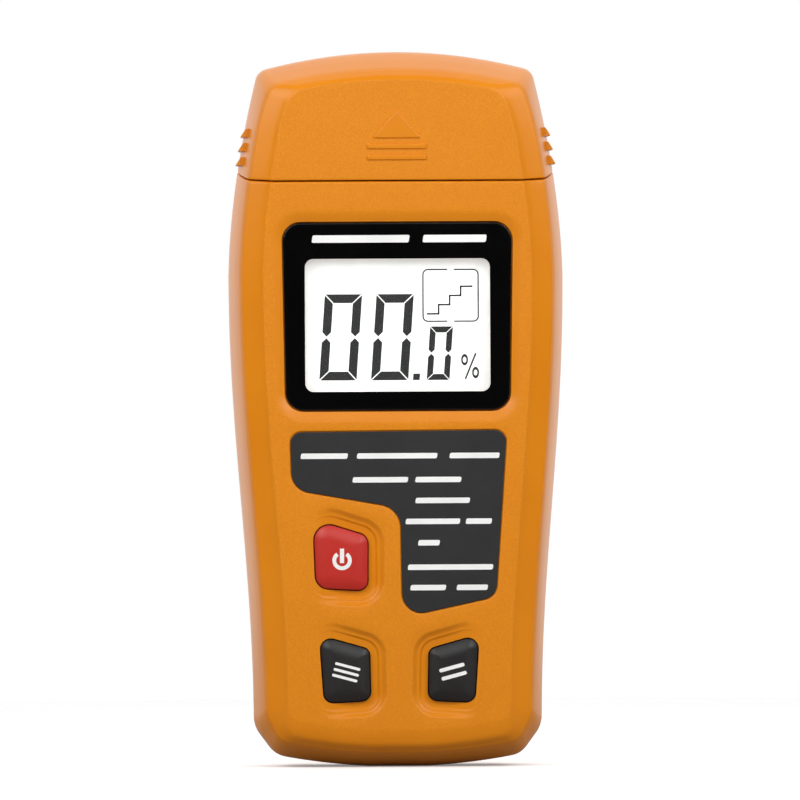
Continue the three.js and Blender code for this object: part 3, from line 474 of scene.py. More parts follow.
def housing_outline(sides, top, lower, divisions=1.0):
    """The outline of the housing, drawn in by so much at the sides, the top and the lower end."""
    toe_share = 1 - TOE_DRAW_IN * sides / TOE_HALF_WIDTH
    low_x = np.linspace(0, TOE_HALF_WIDTH, LINE_SAMPLES)
    low = np.column_stack([low_x * toe_share, lower_edge_at(low_x) + lower])
    heel = np.array([HEEL_HALF_WIDTH - sides, HEEL_Z + HEEL_LIFT * lower])
    crown_x = TOP_CORNER_HALF_WIDTH - sides
    crown_z = float(top_edge_at(crown_x)) - top
    side = side_line(sides, heel[1], crown_x, crown_z)
    top_x = np.linspace(crown_x, 0, LINE_SAMPLES)
    upper = np.column_stack([top_x, top_edge_at(top_x) - top])
    lines = [low, np.array([low[-1], side[0]]), side, upper]
    radii = [TOE_RADIUS - TOE_SHRINK * sides, HEEL_RADIUS, TOP_CORNER_RADIUS + CORNER_GROWTH * sides]
    counts = [max(4, round(count * divisions)) for count in OUTLINE_COUNTS]
    arcs, reaches = [], [0.0]
    for line, following, radius in zip(lines, lines[1:], radii):
        before = unit(line[-2] - line[-1])
        after = unit(following[1] - following[0])
        arc = fillet(following[0], before, after, radius, max(4, round(ARC_COUNT * divisions)))
        arcs.append(arc[1:-1])
        reaches.append(float(np.linalg.norm(arc[0] - following[0])))
    reaches.append(0.0)
    right = []
    for index, (line, count) in enumerate(zip(lines, counts)):
        right.append(trimmed(line, reaches[index], reaches[index + 1], count))
        if index < len(arcs):
            right.append(arcs[index])
    right = np.concatenate(right)
    left = right[-2:0:-1] * (-1, 1)
    return np.concatenate([right, left])


def monotone(values, steps):
    """A smooth curve through evenly spaced values that never overshoots them."""
    slopes = np.diff(values)
    tangents = np.zeros(len(values))
    for index in range(1, len(values) - 1):
        before, after = slopes[index - 1], slopes[index]
        if before * after > 0:
            tangents[index] = 2 * before * after / (before + after)
    tangents[0], tangents[-1] = slopes[0], slopes[-1]
    curve = []
    for index in range(len(slopes)):
        for t in np.arange(steps) / steps:
            start = (1 + 2 * t) * (1 - t) ** 2 * values[index] + t * (1 - t) ** 2 * tangents[index]
            end = t * t * (3 - 2 * t) * values[index + 1] - t * t * (1 - t) * tangents[index + 1]
            curve.append(start + end)
    return np.array([*curve, values[-1]])


def fillet_drop(distance, radius):
    """How far a rounded edge lies below the face at a distance from where the face would end."""
    inward = np.clip(radius - distance, 0, radius)
    return radius - np.sqrt(radius ** 2 - inward ** 2)


WINDOW_CORNERS = panel(WINDOW_HIGH.x, WINDOW_LOW.z, WINDOW_HIGH.z, WINDOW_RADIUS)
WINDOW_CORNERS[:2, 0] *= 1 - WINDOW_TAPER / WINDOW_HIGH.x
DOOR_CORNERS = panel(DOOR_HALF_WIDTH, DOOR_BOTTOM_Z, DOOR_TOP_Z, DOOR_RADIUS)


def front_drop(points):
    """How far the front face is sunk at each point: window recess, label recess and key pockets."""
    from_window = distance_outside(points, rounded(grown(WINDOW_CORNERS, GAP)))
    recess = np.clip(1 - from_window / WINDOW_MOUTH, 0, 1)
    sunk = (WINDOW_FRONT_Y - FRONT_FACE_Y) * recess ** RECESS_CURVE
    from_label = distance_outside(points, rounded(grown(LABEL_CORNERS, LABEL_GAP)))
    floor_drop = LABEL_BACK_Y + CONTACT - FRONT_FACE_Y
    label_drop = np.where(from_label > -HAIR / 2, fillet_drop(from_label, LABEL_EDGE), floor_drop)
    drop = np.maximum(sunk, label_drop)
    for key in KEYS.values():
        from_key = distance_outside(points, rounded(key["corners"]))
        outer_x = (key["corners"][:, 0] * key["outer_side"]).max()
        inward = outer_x - points[:, 0] * key["outer_side"]
        pocket = np.zeros(len(points))
        for start, end, depth in POCKET_STEPS:
            pocket += depth * (1 - smooth_step(start, end, from_key))
        share = smooth_step(-POCKET_FADE["outside"], POCKET_FADE["inside"], inward)
        drop = np.maximum(drop, pocket * share)
    return drop


def back_drop(points):
    """How far the back is sunk at each point: the rounded edge of the doorway."""
    from_door = distance_outside(points, rounded(grown(DOOR_CORNERS, GAP)))
    return fillet_drop(from_door, DOOR_EDGE)


def front_contours():
    """Lines that the surface follows where it bends."""
    lines = [rounded(grown(WINDOW_CORNERS, GAP + WINDOW_MOUTH * share)) for share in RECESS_LINES]
    lines += [rounded(grown(LABEL_CORNERS, LABEL_GAP + offset)) for offset in EDGE_OFFSETS * LABEL_EDGE]
    lines.append(rounded(grown(LABEL_CORNERS, LABEL_GAP - HAIR)))
    for key in KEYS.values():
        offsets = [KEY_EDGE_LINE]
        for start, end, _ in POCKET_STEPS:
            offsets += list(np.linspace(start, end, POCKET_LINES))
        lines += [rounded(grown(key["corners"], offset)) for offset in offsets]
    return [dense(line) for line in lines]


def back_contours():
    return [dense(rounded(grown(DOOR_CORNERS, GAP + offset))) for offset in EDGE_OFFSETS * DOOR_EDGE]


def plateau(ring, contours, spacing=PLATEAU_SPACING):
    """Points and triangles that fill a ring and keep to the contours. The ring's own points come first."""
    low, high = ring.min(0), ring.max(0)
    grid = np.array([
        [x + (row % 2) * spacing / 2, z]
        for row, z in enumerate(np.arange(low[1], high[1], spacing * math.sqrt(3) / 2))
        for x in np.arange(low[0], high[0], spacing)
    ])
    keep = distance_outside(grid, ring) < -spacing / 2
    for contour in contours:
        keep &= np.abs(distance_outside(grid, contour)) > spacing / 3
    loops = [ring, *contours]
    points = np.concatenate([*loops, grid[keep]])
    edges, start = [], 0
    for loop in loops:
        count = len(loop)
        edges += [(start + index, start + (index + 1) % count) for index in range(count)]
        start += count
    where, _, faces, origins, _, _ = delaunay_2d_cdt([Vector(point) for point in points], edges, [], 1, 1e-9)
    order = {}
    extra = []
    for index, origin in enumerate(origins):
        on_ring = [source for source in origin if source < len(ring)]
        if on_ring:
            order[index] = on_ring[0]
        else:
            order[index] = len(ring) + len(extra)
            extra.append(where[index])
    filled = np.concatenate([ring, np.array([[p[0], p[1]] for p in extra])])
    return filled, [[order[corner] for corner in face] for face in faces]


def outer_form(wall=0.0, detailed=True):
    """The whole closed outer form as a mesh, with its skin moved in by a wall thickness."""
    row_steps, divisions = (ROW_STEPS, 1) if detailed else (ROUGH_ROW_STEPS, ROUGH_DIVISIONS)
    rows = np.column_stack([monotone(column, row_steps) for column in DEPTH_ROWS.T])
    rings = [housing_outline(*(row[1:] + wall), divisions) for row in rows]
    depths = rows[:, 0] * (1 - wall / HALF_DEPTH)
    count = len(rings[0])
    points = [at_depth(ring, y) for ring, y in zip(rings, depths)]
    faces = band_faces(count, len(rings))
    placed = len(rings) * count
    for row, y, side, contours, drop in (
        (0, depths[0], 1, front_contours, front_drop),
        (len(rings) - 1, depths[-1], -1, back_contours, back_drop),
    ):
        filled, triangles = plateau(rings[row], contours() if detailed else [])
        sunk = drop(filled) if detailed else np.zeros(len(filled))
        extra = filled[count:]
        points.append(at_depth(extra, y + side * sunk[count:]))
        offset = placed - count
        for triangle in triangles:
            corners = [corner + (row * count if corner < count else offset) for corner in triangle]
            faces.append(corners[::side])
        placed += len(extra)
    return mesh_from(np.concatenate(points), faces)


# ---------------- meshes

def mesh_from(points, faces):
    """A mesh whose faces all look outwards."""
    mesh = bpy.data.meshes.new("form")
    mesh.from_pydata([tuple(point) for point in points], [], [list(face) for face in faces])
    work = bmesh.new()
    work.from_mesh(mesh)
    bmesh.ops.recalc_face_normals(work, faces=work.faces)
    work.to_mesh(mesh)
    work.free()
    return mesh


def object_of(name, mesh):
    """A mesh as an object in the scene, under one name."""
    piece = bpy.data.objects.new(name, mesh)
    mesh.name = name
    bpy.context.scene.collection.objects.link(piece)
    return piece


def band_faces(count, rows):
    """Four-cornered faces between closed rings of so many points, one ring after the other."""
    faces = []
    for row in range(rows - 1):
        for index in range(count):
            here, after = row * count + index, row * count + (index + 1) % count
            faces.append((here, here + count, after + count, after))
    return faces


def lofted(rings):
    """A closed skin over rings of 3-D points, with a flat face on the first and last."""
    count = len(rings[0])
    points = np.concatenate(rings)
    ends = [tuple(range(count)), tuple(range(len(points) - 1, len(points) - count - 1, -1))]
    faces = ends + [face[::-1] for face in band_faces(count, len(rings))]
    return mesh_from(points, faces)


def at_depth(outline, y):
    """An outline in x and z as 3-D points, at one depth or a depth for each point."""
    return np.column_stack([outline[:, 0], np.broadcast_to(y, len(outline)), outline[:, 1]])


def slab(outline, front_y, back_y):
    """An outline in x and z carried straight back."""
    return lofted([at_depth(outline, front_y), at_depth(outline, back_y)])


def soft_slab(corners, front_y, back_y, radius, steps=4, back_radius=0.0):
    """A slab whose front edge is rounded, and its back edge too if a radius is given."""
    rings = [at_depth(rounded(grown(corners, -radius - HAIR)), front_y)]
    angles = np.linspace(0, math.pi / 2, steps + 1)
    for angle in angles:
        inset = radius * (1 - math.sin(angle))
        rings.append(at_depth(rounded(grown(corners, -inset)), front_y + radius * (1 - math.cos(angle))))
    for angle in angles[::-1] if back_radius else angles[-1:]:
        inset = back_radius * (1 - math.sin(angle))
        y = back_y - back_radius * (1 - math.cos(angle))
        rings.append(at_depth(rounded(grown(corners, -inset)), y))
    return lofted(rings)


def circle(x, z, radius, segments=40):
    turns = np.linspace(0, 2 * math.pi, segments, endpoint=False)
    return np.column_stack([x + radius * np.cos(turns), z + radius * np.sin(turns)])


def rod(place, radius, front_y, back_y):
    return slab(circle(place[0], place[1], radius), front_y, back_y)


def block(low, high):
    corners = [(x, y, z) for x in (low[0], high[0]) for y in (low[1], high[1]) for z in (low[2], high[2])]
    faces = [(0, 1, 3, 2), (4, 6, 7, 5), (0, 4, 5, 1), (2, 3, 7, 6), (0, 2, 6, 4), (1, 5, 7, 3)]
    return mesh_from(np.array(corners), faces)


def combine(piece, operation, meshes):
    """Joins solids to a piece, or cuts them from it, one after the other."""
    for mesh in meshes:
        tool = object_of("tool", mesh)
        modifier = piece.modifiers.new("cut", "BOOLEAN")
        modifier.operation = operation
        modifier.solver = "MANIFOLD"
        modifier.object = tool
        shape = bpy.data.meshes.new_from_object(piece.evaluated_get(bpy.context.evaluated_depsgraph_get()))
        piece.modifiers.clear()
        piece.data = shape
        bpy.data.objects.remove(tool)
    return piece


def mesh_of(piece):
    """The mesh of a piece that was only needed to make it."""
    mesh = piece.data
    bpy.data.objects.remove(piece)
    return mesh


def cut_at(mesh, place, normal):
    """Keeps what lies behind a plane, closes the cut and rounds the edge round it."""
    work = bmesh.new()
    work.from_mesh(mesh)
    place, normal = Vector(place), Vector(normal).normalized()
    for share in EDGE_LINES:
        everything = work.verts[:] + work.edges[:] + work.faces[:]
        line = place - normal * EDGE_RADIUS * share
        bmesh.ops.bisect_plane(work, geom=everything, plane_co=line, plane_no=normal)
    everything = work.verts[:] + work.edges[:] + work.faces[:]
    bmesh.ops.bisect_plane(work, geom=everything, plane_co=place, plane_no=normal, clear_outer=True)
    work.normal_update()
    moves = {}
    for vertex in work.verts:
        distance = (place - vertex.co).dot(normal)
        if distance < EDGE_RADIUS:
            inward = vertex.normal - normal * vertex.normal.dot(normal)
            drop = float(fillet_drop(distance, EDGE_RADIUS))
            moves[vertex] = inward.normalized() * -drop
    for vertex, move in moves.items():
        vertex.co += move
    rim = [edge for edge in work.edges if edge.is_boundary]
    bmesh.ops.triangle_fill(work, use_beauty=True, edges=rim)
    bmesh.ops.recalc_face_normals(work, faces=work.faces)
    cut = bpy.data.meshes.new("cut")
    work.to_mesh(cut)
    work.free()
    return cut


# ---------------- materials

def add_node(tree, kind, inputs=(), **settings):
    """A new node, with each of its inputs linked to an output or set to a value."""
    node = tree.nodes.new(kind)
    for setting, value in settings.items():
        setattr(node, setting, value)
    for socket, value in dict(inputs).items():
        if isinstance(value, bpy.types.NodeSocket):
            tree.links.new(value, node.inputs[socket])
        else:
            node.inputs[socket].default_value = value
    return node


class Finish:
    """A node material under construction: one Principled shader and what feeds it."""

    def __init__(self, name, **sockets):
        self.material = bpy.data.materials.new(name)
        self.material.use_nodes = True
        self.tree = self.material.node_tree
        self.shader = self.tree.nodes["Principled BSDF"]
        for socket, value in sockets.items():
            self.shader.inputs[socket.replace("_", " ")].default_value = value
        self.place = self.tree.nodes.new("ShaderNodeTexCoord").outputs["Object"]

    def add(self, kind, inputs=(), **settings):
        return add_node(self.tree, kind, inputs, **settings)

    def link(self, output, socket):
        self.tree.links.new(output, self.shader.inputs[socket])

    def along(self, axis):
        """Where a point lies along one axis, in metres."""
        return self.add("ShaderNodeSeparateXYZ", {"Vector": self.place}).outputs[axis]

    def noise(self, size, detail=2.0):
        """Smooth noise from 0 to 1 with features of about a given size."""
        return self.speckle(self.place, 1 / size, detail)

    def brushing(self, scale, detail):
        """Noise drawn out into fine lines, with so many to the metre along each axis."""
        drawn = self.add("ShaderNodeMapping", {"Vector": self.place, "Scale": scale}).outputs[0]
        return self.speckle(drawn, 1.0, detail)

    def speckle(self, place, scale, detail):
        """The noise that the other two are made of."""
        sockets = {"Vector": place, "Scale": scale, "Detail": detail}
        return self.add("ShaderNodeTexNoise", sockets).outputs["Fac"]

    def ramp(self, value, low, high, out_low, out_high):
        sockets = {"Value": value, "From Min": low, "From Max": high, "To Min": out_low, "To Max": out_high}
        return self.add("ShaderNodeMapRange", sockets).outputs["Result"]

    def gloss(self, noise, low, high):
        """Uneven roughness between two values."""
        self.link(self.ramp(noise, NOISE_LOW, NOISE_HIGH, low, high), "Roughness")

    def colours(self, value, dark, light, low=NOISE_LOW, high=NOISE_HIGH):
        """A blend from a dark to a light display colour as a value rises."""
        node = self.add("ShaderNodeValToRGB", {"Fac": value})
        for element, place, colour in zip(node.color_ramp.elements, (low, high), (dark, light)):
            element.position = place
            element.color = linear(*colour)
        return node.outputs["Color"]

    def mix(self, share, first, second):
        node = self.add("ShaderNodeMix", {0: share, 6: first, 7: second}, data_type="RGBA")
        return node.outputs[2]

    def times(self, first, second):
        return self.add("ShaderNodeMath", {0: first, 1: second}, operation="MULTIPLY").outputs[0]

    def bump(self, height, depth):
        node = self.add("ShaderNodeBump", {"Height": height, "Distance": depth, "Strength": 1.0})
        self.link(node.outputs["Normal"], "Normal")


def linear(red, green, blue):
    """A display colour from 0 to 255 as linear light, opaque."""
    light = [((v / 255 + 0.055) / 1.055) ** 2.4 if v > 10 else v / 3294.6 for v in (red, green, blue)]
    return (*light, 1)


def moulded(name, dark, light, roughness, grain=0.25 * MM, depth=FINE_GRAIN, **sockets):
    """Moulded plastic or rubber: faint clouding of the colour, uneven gloss and a fine grain."""
    finish = Finish(name, **sockets)
    finish.link(finish.colours(finish.noise(CLOUD_SIZE), dark, light), "Base Color")
    finish.gloss(finish.noise(GLOSS_SIZE), roughness - GLOSS_SPREAD, roughness + GLOSS_SPREAD)
    finish.bump(finish.noise(grain), depth)
    return finish.material


def orange_plastic():
    """Orange moulding: spark-textured on the flat faces, smooth on the edges that run round them."""
    finish = Finish("orange_plastic", Specular_IOR_Level=0.3)
    y = finish.along("Y")
    depth = finish.add("ShaderNodeMath", {0: y}, operation="ABSOLUTE").outputs[0]
    on_faces = finish.ramp(depth, FACE_TEXTURE_FROM, FACE_TEXTURE_TO, 0, 1)
    below_marks = finish.ramp(y, -MARK_SMOOTH_FROM, -MARK_TEXTURE_TO, 0, 1)
    textured = finish.times(on_faces, below_marks)
    speckle = finish.noise(SPECKLE_SIZE, 3.0)
    plain = finish.colours(finish.noise(ORANGE_CLOUD_SIZE), ORANGE_DARK, ORANGE_LIGHT)
    speckled = finish.colours(speckle, SPECKLE_DARK, SPECKLE_LIGHT, 0.35, 0.65)
    finish.link(finish.mix(finish.times(textured, 0.5), plain, speckled), "Base Color")
    finish.link(finish.ramp(textured, 0, 1, 0.3, 0.42), "Roughness")
    finish.bump(finish.times(speckle, finish.ramp(textured, 0, 1, 0.08, 1)), 0.05 * MM)
    return finish.material


def metal(name, dark, light, roughness):
    """Turned or plated metal with fine marks round it."""
    finish = Finish(name, Metallic=1.0)
    marks = finish.brushing(ROUND_BRUSHING, 3.0)
    finish.link(finish.colours(marks, dark, light), "Base Color")
    finish.gloss(marks, roughness - 0.06, roughness + 0.08)
    finish.bump(marks, FINE_GRAIN)
    return finish.material


def board_laminate():
    """Solder mask over woven glass, with tinned pads on a regular grid."""
    finish = Finish("board_laminate", Roughness=0.35)
    sockets = {"Vector": finish.place, "Scale": WEAVES_PER_METRE, "Mortar Size": 0.04}
    weave = finish.add("ShaderNodeTexBrick", sockets).outputs["Fac"]
    green = finish.colours(weave, (20, 84, 46), (30, 104, 60), 0.0, 1.0)
    sockets = {"Vector": finish.place, "Scale": 1 / PAD_PITCH, "Randomness": 0.15}
    dots = finish.add("ShaderNodeTexVoronoi", sockets).outputs["Distance"]
    finish.link(finish.mix(finish.ramp(dots, 0.16, 0.2, 1, 0), green, linear(196, 196, 190)), "Base Color")
    finish.bump(weave, FINE_GRAIN)
    return finish.material


def battery_wrap():
    """A printed metal can: dark body, copper band round its upper end, fine vertical brushing."""
    finish = Finish("battery_wrap", Metallic=0.7)
    band = finish.ramp(finish.along("Z"), BATTERY_BAND_Z - BAND_BLUR, BATTERY_BAND_Z + BAND_BLUR, 0, 1)
    marks = finish.brushing(UPRIGHT_BRUSHING, 2.0)
    body = finish.colours(marks, (36, 38, 44), (44, 47, 53))
    copper = finish.colours(marks, (184, 122, 68), (196, 134, 78))
    finish.link(finish.mix(band, body, copper), "Base Color")
    finish.gloss(marks, 0.26, 0.38)
    finish.bump(marks, FINE_GRAIN)
    return finish.material


def clear_pane():
    """Clear acrylic with the faintest haze."""
    finish = Finish("clear_acrylic", Alpha=0.02, IOR=1.49)
    finish.link(finish.colours(finish.noise(6 * MM), (236, 240, 238), (250, 252, 252)), "Base Color")
    finish.gloss(finish.noise(1.5 * MM), 0.03, 0.07)
    return finish.material


def lcd_face():
    """Reflective LCD glass: near white with a faint mottle behind the polariser, and a painted glow that
    washes out the shade of its recess.
    """
    # the emission is painted light: the LCD is no lamp, and it glows so it stays white where the window's
    # border shades it
    finish = Finish("lcd_face", Emission_Strength=0.45)
    mottle = finish.colours(finish.noise(3 * MM, 3.0), (240, 243, 240), (252, 253, 250))
    finish.link(mottle, "Base Color")
    # the same mottle colours the painted glow
    finish.link(mottle, "Emission Color")
    finish.gloss(finish.noise(GLOSS_SIZE), 0.3, 0.38)
    finish.bump(finish.noise(0.2 * MM), 0.003 * MM)
    return finish.material


FINISHES = {
    "orange": orange_plastic(),
    "window": moulded("window_print", (1, 1, 1), (3, 3, 3), 0.08, depth=0.0003 * MM, Specular_IOR_Level=0.3),
    "pane": clear_pane(),
    "label": moulded("label_sheet", (20, 20, 22), (28, 28, 30), 0.5, grain=0.3 * MM, depth=0.012 * MM),
    "print": moulded("white_print", (238, 238, 236), (250, 250, 248), 0.5, depth=0.004 * MM),
    "lcd": lcd_face(),
    "segment": moulded("lcd_segment", (1, 1, 1), (3, 3, 3), 0.5, depth=0.002 * MM, Specular_IOR_Level=0.2),
    "red_key": moulded("red_key", (190, 32, 16), (197, 36, 20), 0.42, depth=0.006 * MM),
    "dark_key": moulded("dark_key", (17, 14, 13), (22, 19, 18), 0.42, depth=0.006 * MM),
    "white_plastic": moulded("white_plastic", (222, 222, 216), (234, 234, 228), 0.45),
    "black_plastic": moulded("black_plastic", (18, 18, 19), (28, 28, 29), 0.42, depth=0.02 * MM),
    "rubber": moulded("contact_rubber", (70, 70, 72), (96, 96, 98), 0.75),
    "red_lead": moulded("red_lead", (164, 22, 20), (184, 30, 26), 0.4),
    "black_lead": moulded("black_lead", (16, 16, 17), (26, 26, 27), 0.4),
    "board": board_laminate(),
    "battery": battery_wrap(),
    "brass": metal("brass", (190, 148, 70), (214, 176, 96), 0.28),
    "steel": metal("steel", (172, 174, 178), (204, 206, 210), 0.26),
}

NODE_FINISHES = {
    "lcd": ["lcd_panel"],
    "white_plastic": ["lcd_frame"],
    "rubber": ["zebra_strip"],
    "board": ["main_board"],
    "battery": ["battery"],
    "red_lead": ["battery_lead_red", "pin_lead_left", "pin_lead_right"],
    "black_lead": ["battery_lead_black"],
    "brass": ["pin_socket_left", "pin_socket_right"],
    "black_plastic": [
        "buzzer", "controller_chip", "amplifier_chip", "battery_snap", "pin_block",
        *(f"{key}_switch_plunger" for key in KEYS),
    ],
    "steel": [
        "electrode_pin_left", "electrode_pin_right", "board_screw_left", "board_screw_right",
        *(f"case_screw_{number}" for number in range(1, len(CASE_SCREWS) + 1)),
        *(f"{key}_switch_body" for key in KEYS),
    ],
}


def settle(piece, finish, body, slot, *nodes):
    """Gives a finished piece its smooth faces, material and body, and hides the CAD nodes it stands for. The
    slot is not used.
    """
    piece.data.shade_smooth()
    piece.data.set_sharp_from_angle(angle=SOFT_ANGLE)
    piece.data.materials.clear()
    piece.data.materials.append(FINISHES[finish])
    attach(piece, body)
    if nodes:
        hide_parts(*nodes)


# ---------------- casings and cap

def seam_lip(inside):
    """The thin band inside the front casing's wall that closes the seam behind the rear casing's edge."""
    outline = housing_outline(LIP_INSET, LIP_INSET, LIP_INSET, ROUGH_DIVISIONS)
    piece = object_of("lip", slab(outline, -WALL, LIP_REACH))
    below_cap = block((-FAR, -FAR, -FAR), (FAR, FAR, LIP_TOP_Z))
    combine(piece, "DIFFERENCE", [inside])
    combine(piece, "INTERSECT", [below_cap])
    return mesh_of(piece)


def lip_groove():
    """The space that the band needs inside the rear casing's wall."""
    rings = [
        slab(housing_outline(inset, inset, inset, ROUGH_DIVISIONS), -depth, depth)
        for inset, depth in ((LIP_INSET - GAP / 2, LIP_REACH + GAP), (WALL + GAP, WALL))
    ]
    piece = combine(object_of("groove", rings[0]), "DIFFERENCE", rings[1:])
    return mesh_of(piece)


def sight_panel(inset, radius):
    """The corners of the opening that the display is seen through, moved in by an inset."""
    return panel(SIGHT_HALF_WIDTH - inset, SIGHT_LOW_Z + inset, SIGHT_HIGH_Z - inset, radius)


def front_shell(body, inside):
    piece = object_of("front_shell_skin", cut_at(body, (0, -GAP / 2, 0), (0, 1, 0)))
    combine(piece, "DIFFERENCE", [inside])
    seat = slab(rounded(grown(WINDOW_CORNERS, WALL)), INNER_FRONT_Y - GAP, SEAT_BACK_Y)
    root_y = INNER_FRONT_Y - GAP
    bosses = [rod(place, FRONT_BOSS_RADIUS, root_y, -GAP / 2) for place in CASE_SCREWS]
    posts = [rod(place, BOARD_POST_RADIUS, root_y, BOARD_FRONT_Y - CONTACT) for place in BOARD_POSTS]
    combine(piece, "UNION", [seat, seam_lip(inside), *bosses, *posts])
    window = slab(rounded(grown(WINDOW_CORNERS, GAP)), -FAR, WINDOW_BACK_Y + CONTACT)
    sight = slab(rounded(sight_panel(-SIGHT_HOLE_MARGIN, SIGHT_HOLE_RADIUS)), -FAR, 0)
    key_outlines = [rounded(grown(key["corners"], KEY_GAP)) for key in KEYS.values()]
    key_holes = [slab(outline, -FAR, INNER_FRONT_Y + WALL) for outline in key_outlines]
    bore = CASE_SCREW_RADIUS + GAP
    boss_holes = [rod(place, bore, SCREW_TIP_Y - OVERRUN, OVERRUN) for place in CASE_SCREWS]
    post_holes = [rod(place, BOARD_SCREW_RADIUS + GAP, INNER_FRONT_Y, 0) for place in BOARD_POSTS]
    combine(piece, "DIFFERENCE", [window, sight, *key_holes, *boss_holes, *post_holes])
    settle(piece, "orange", "housing", "housing_plastic", "front_shell")


def sides_of(inner, outer, side):
    """The lower and the higher x of a stretch on one side of the middle."""
    return sorted((side * inner, side * outer))


def finger_scoop():
    """A level cylinder that cuts the hollow for a fingertip above the door."""
    cross_section = circle(HALF_DEPTH + SCOOP_RADIUS - SCOOP_DEPTH, SCOOP_Z, SCOOP_RADIUS, ROUND_STEPS)
    return lofted([np.insert(cross_section, 0, x, axis=1) for x in (-SCOOP_HALF_LENGTH, SCOOP_HALF_LENGTH)])


def hook_slots():
    """The slots that the door's hooks drop into, and the space that they turn in behind the lip."""
    inner_y = HALF_DEPTH - DOOR_THICKNESS
    front_y = HOOK["front"] - HOOK_SLOT_DEEPER
    slots = []
    for side in (-1, 1):
        low_x, high_x = sides_of(HOOK["inner"] - GAP, HOOK["outer"] + GAP, side)
        slots.append(block((low_x, front_y, DOOR_BOTTOM_Z - GAP), (high_x, inner_y + GAP, BATTERY_LOW.z)))
        slots.append(block((low_x, front_y, HOOK_SLOT_LOW_Z), (high_x, HALF_DEPTH - WALL, DOOR_BOTTOM_Z)))
    return slots


def rear_shell(body, inside):
    piece = object_of("rear_shell_skin", cut_at(body, (0, GAP / 2, 0), (0, -1, 0)))
    combine(piece, "DIFFERENCE", [inside, lip_groove()])
    bosses = [rod(place, BACK_BOSS_RADIUS, GAP / 2, HALF_DEPTH - WALL + GAP) for place in CASE_SCREWS]
    inner_y = BAY_HIGH.y
    walls = block(BAY_LOW - Vector((BAY_WALL,) * 3), (BAY_HIGH.x + BAY_WALL, inner_y, BAY_HIGH.z + BAY_WALL))
    ledge = block(
        (-DOOR_HALF_WIDTH - LEDGE_BORDER, inner_y - LEDGE_DEPTH, DOOR_BOTTOM_Z - LEDGE_BORDER),
        (DOOR_HALF_WIDTH + LEDGE_BORDER, inner_y, DOOR_TOP_Z + LEDGE_BORDER),
    )
    combine(piece, "UNION", [*bosses, walls, ledge])
    space = block(BAY_LOW, (BAY_HIGH.x, FAR, BAY_HIGH.z))
    notch = block(
        (-SNAP_NOTCH["half_width"], BAY_LOW.y, BAY_HIGH.z - GAP),
        (SNAP_NOTCH["half_width"], SNAP_NOTCH["back"], BAY_HIGH.z + BAY_WALL + GAP),
    )
    doorway = slab(rounded(grown(DOOR_CORNERS, GAP)), inner_y, FAR)
    tongue_half = TONGUE_HALF_WIDTH + GAP
    tongue_notch = block((-tongue_half, inner_y, DOOR_TOP_Z), (tongue_half, FAR, DOOR_HIGH.z + GAP))
    counterbores = [rod(place, COUNTERBORE_RADIUS, CASE_SCREW_SEAT_Y, FAR) for place in CASE_SCREWS]
    holes = [rod(place, CASE_SCREW_RADIUS + GAP, -FAR, CASE_SCREW_SEAT_Y + GAP) for place in CASE_SCREWS]
    combine(piece, "DIFFERENCE", [
        space, notch, doorway, tongue_notch, finger_scoop(), *hook_slots(), *counterbores, *holes,
    ])
    settle(piece, "orange", "housing", "housing_plastic", "rear_shell")


def grip_rib(side, top_z):
    """A ramped rib that steps back to the wall at its lower edge and dies away at its ends."""
    low_z = top_z - RIB_HEIGHT
    low_x, top_x = float(half_width_at(low_z)), float(half_width_at(top_z))
    rings = []
    for y in np.linspace(-RIB_HALF_LENGTH, RIB_HALF_LENGTH, RIB_RINGS):
        over = max(abs(y) - (RIB_HALF_LENGTH - RIB_END), 0) / RIB_END
        reach = RIB_REACH * (1 - RIB_END_FALL * (1 - math.sqrt(max(1 - over ** 2, 0))))
        corners = np.array([
            [low_x - RIB_ROOT, top_z, RIB_RADII["root"]],
            [low_x - RIB_ROOT, low_z, RIB_RADII["root"]],
            [low_x + reach, low_z, RIB_RADII["low"]],
            [top_x - RIB_TOP_SUNK, top_z, RIB_RADII["top"]],
        ])
        rings.append(at_depth(rounded(corners, 5) * (side, 1), y))
    return lofted(rings)


def pull_marks():
    """The raised arrow and the bars under it that show which way the cap pulls off."""
    front_y, back_y = FRONT_FACE_Y - MARK_RELIEF, FRONT_FACE_Y + GAP
    bars = [panel(PULL_BAR_HALF_WIDTH, z - PULL_BAR_HEIGHT, z, PULL_BAR_RADIUS) for z in PULL_BAR_TOPS_Z]
    return [soft_slab(corners, front_y, back_y, MARK_EDGE) for corners in (ARROW_CORNERS, *bars)]


def pin_cap(form, inside):
    piece = object_of("pin_cap_skin", cut_at(form, CAP_PLACE + CAP_NORMAL * GAP / 2, -CAP_NORMAL))
    combine(piece, "DIFFERENCE", [inside])
    ribs = [grip_rib(side, top_z) for side in (-1, 1) for top_z in RIB_TOPS_Z]
    combine(piece, "UNION", [*ribs, *pull_marks()])
    settle(piece, "orange", "cap", "housing_plastic", "pin_cap")


# ---------------- window, display and label

def window_border():
    mesh = soft_slab(WINDOW_CORNERS, WINDOW_FRONT_Y, WINDOW_BACK_Y, WINDOW_EDGE)
    piece = object_of("window_border", mesh)
    combine(piece, "DIFFERENCE", [slab(rounded(sight_panel(0, SIGHT_RADIUS)), -FAR, 0)])
    settle(piece, "window", "housing", "window_plastic", "display_window")


def window_pane():
    corners = sight_panel(PANE_GAP, SIGHT_RADIUS - PANE_GAP)
    front_y = WINDOW_FRONT_Y + CONTACT
    piece = object_of("window_pane", soft_slab(corners, front_y, front_y + PANE_THICKNESS, PANE_EDGE))
    settle(piece, "pane", "housing", "window_plastic", "display_window")


def slanted(points, slant, foot_z):
    return np.column_stack([points[:, 0] + (points[:, 1] - foot_z) * slant, points[:, 1]])


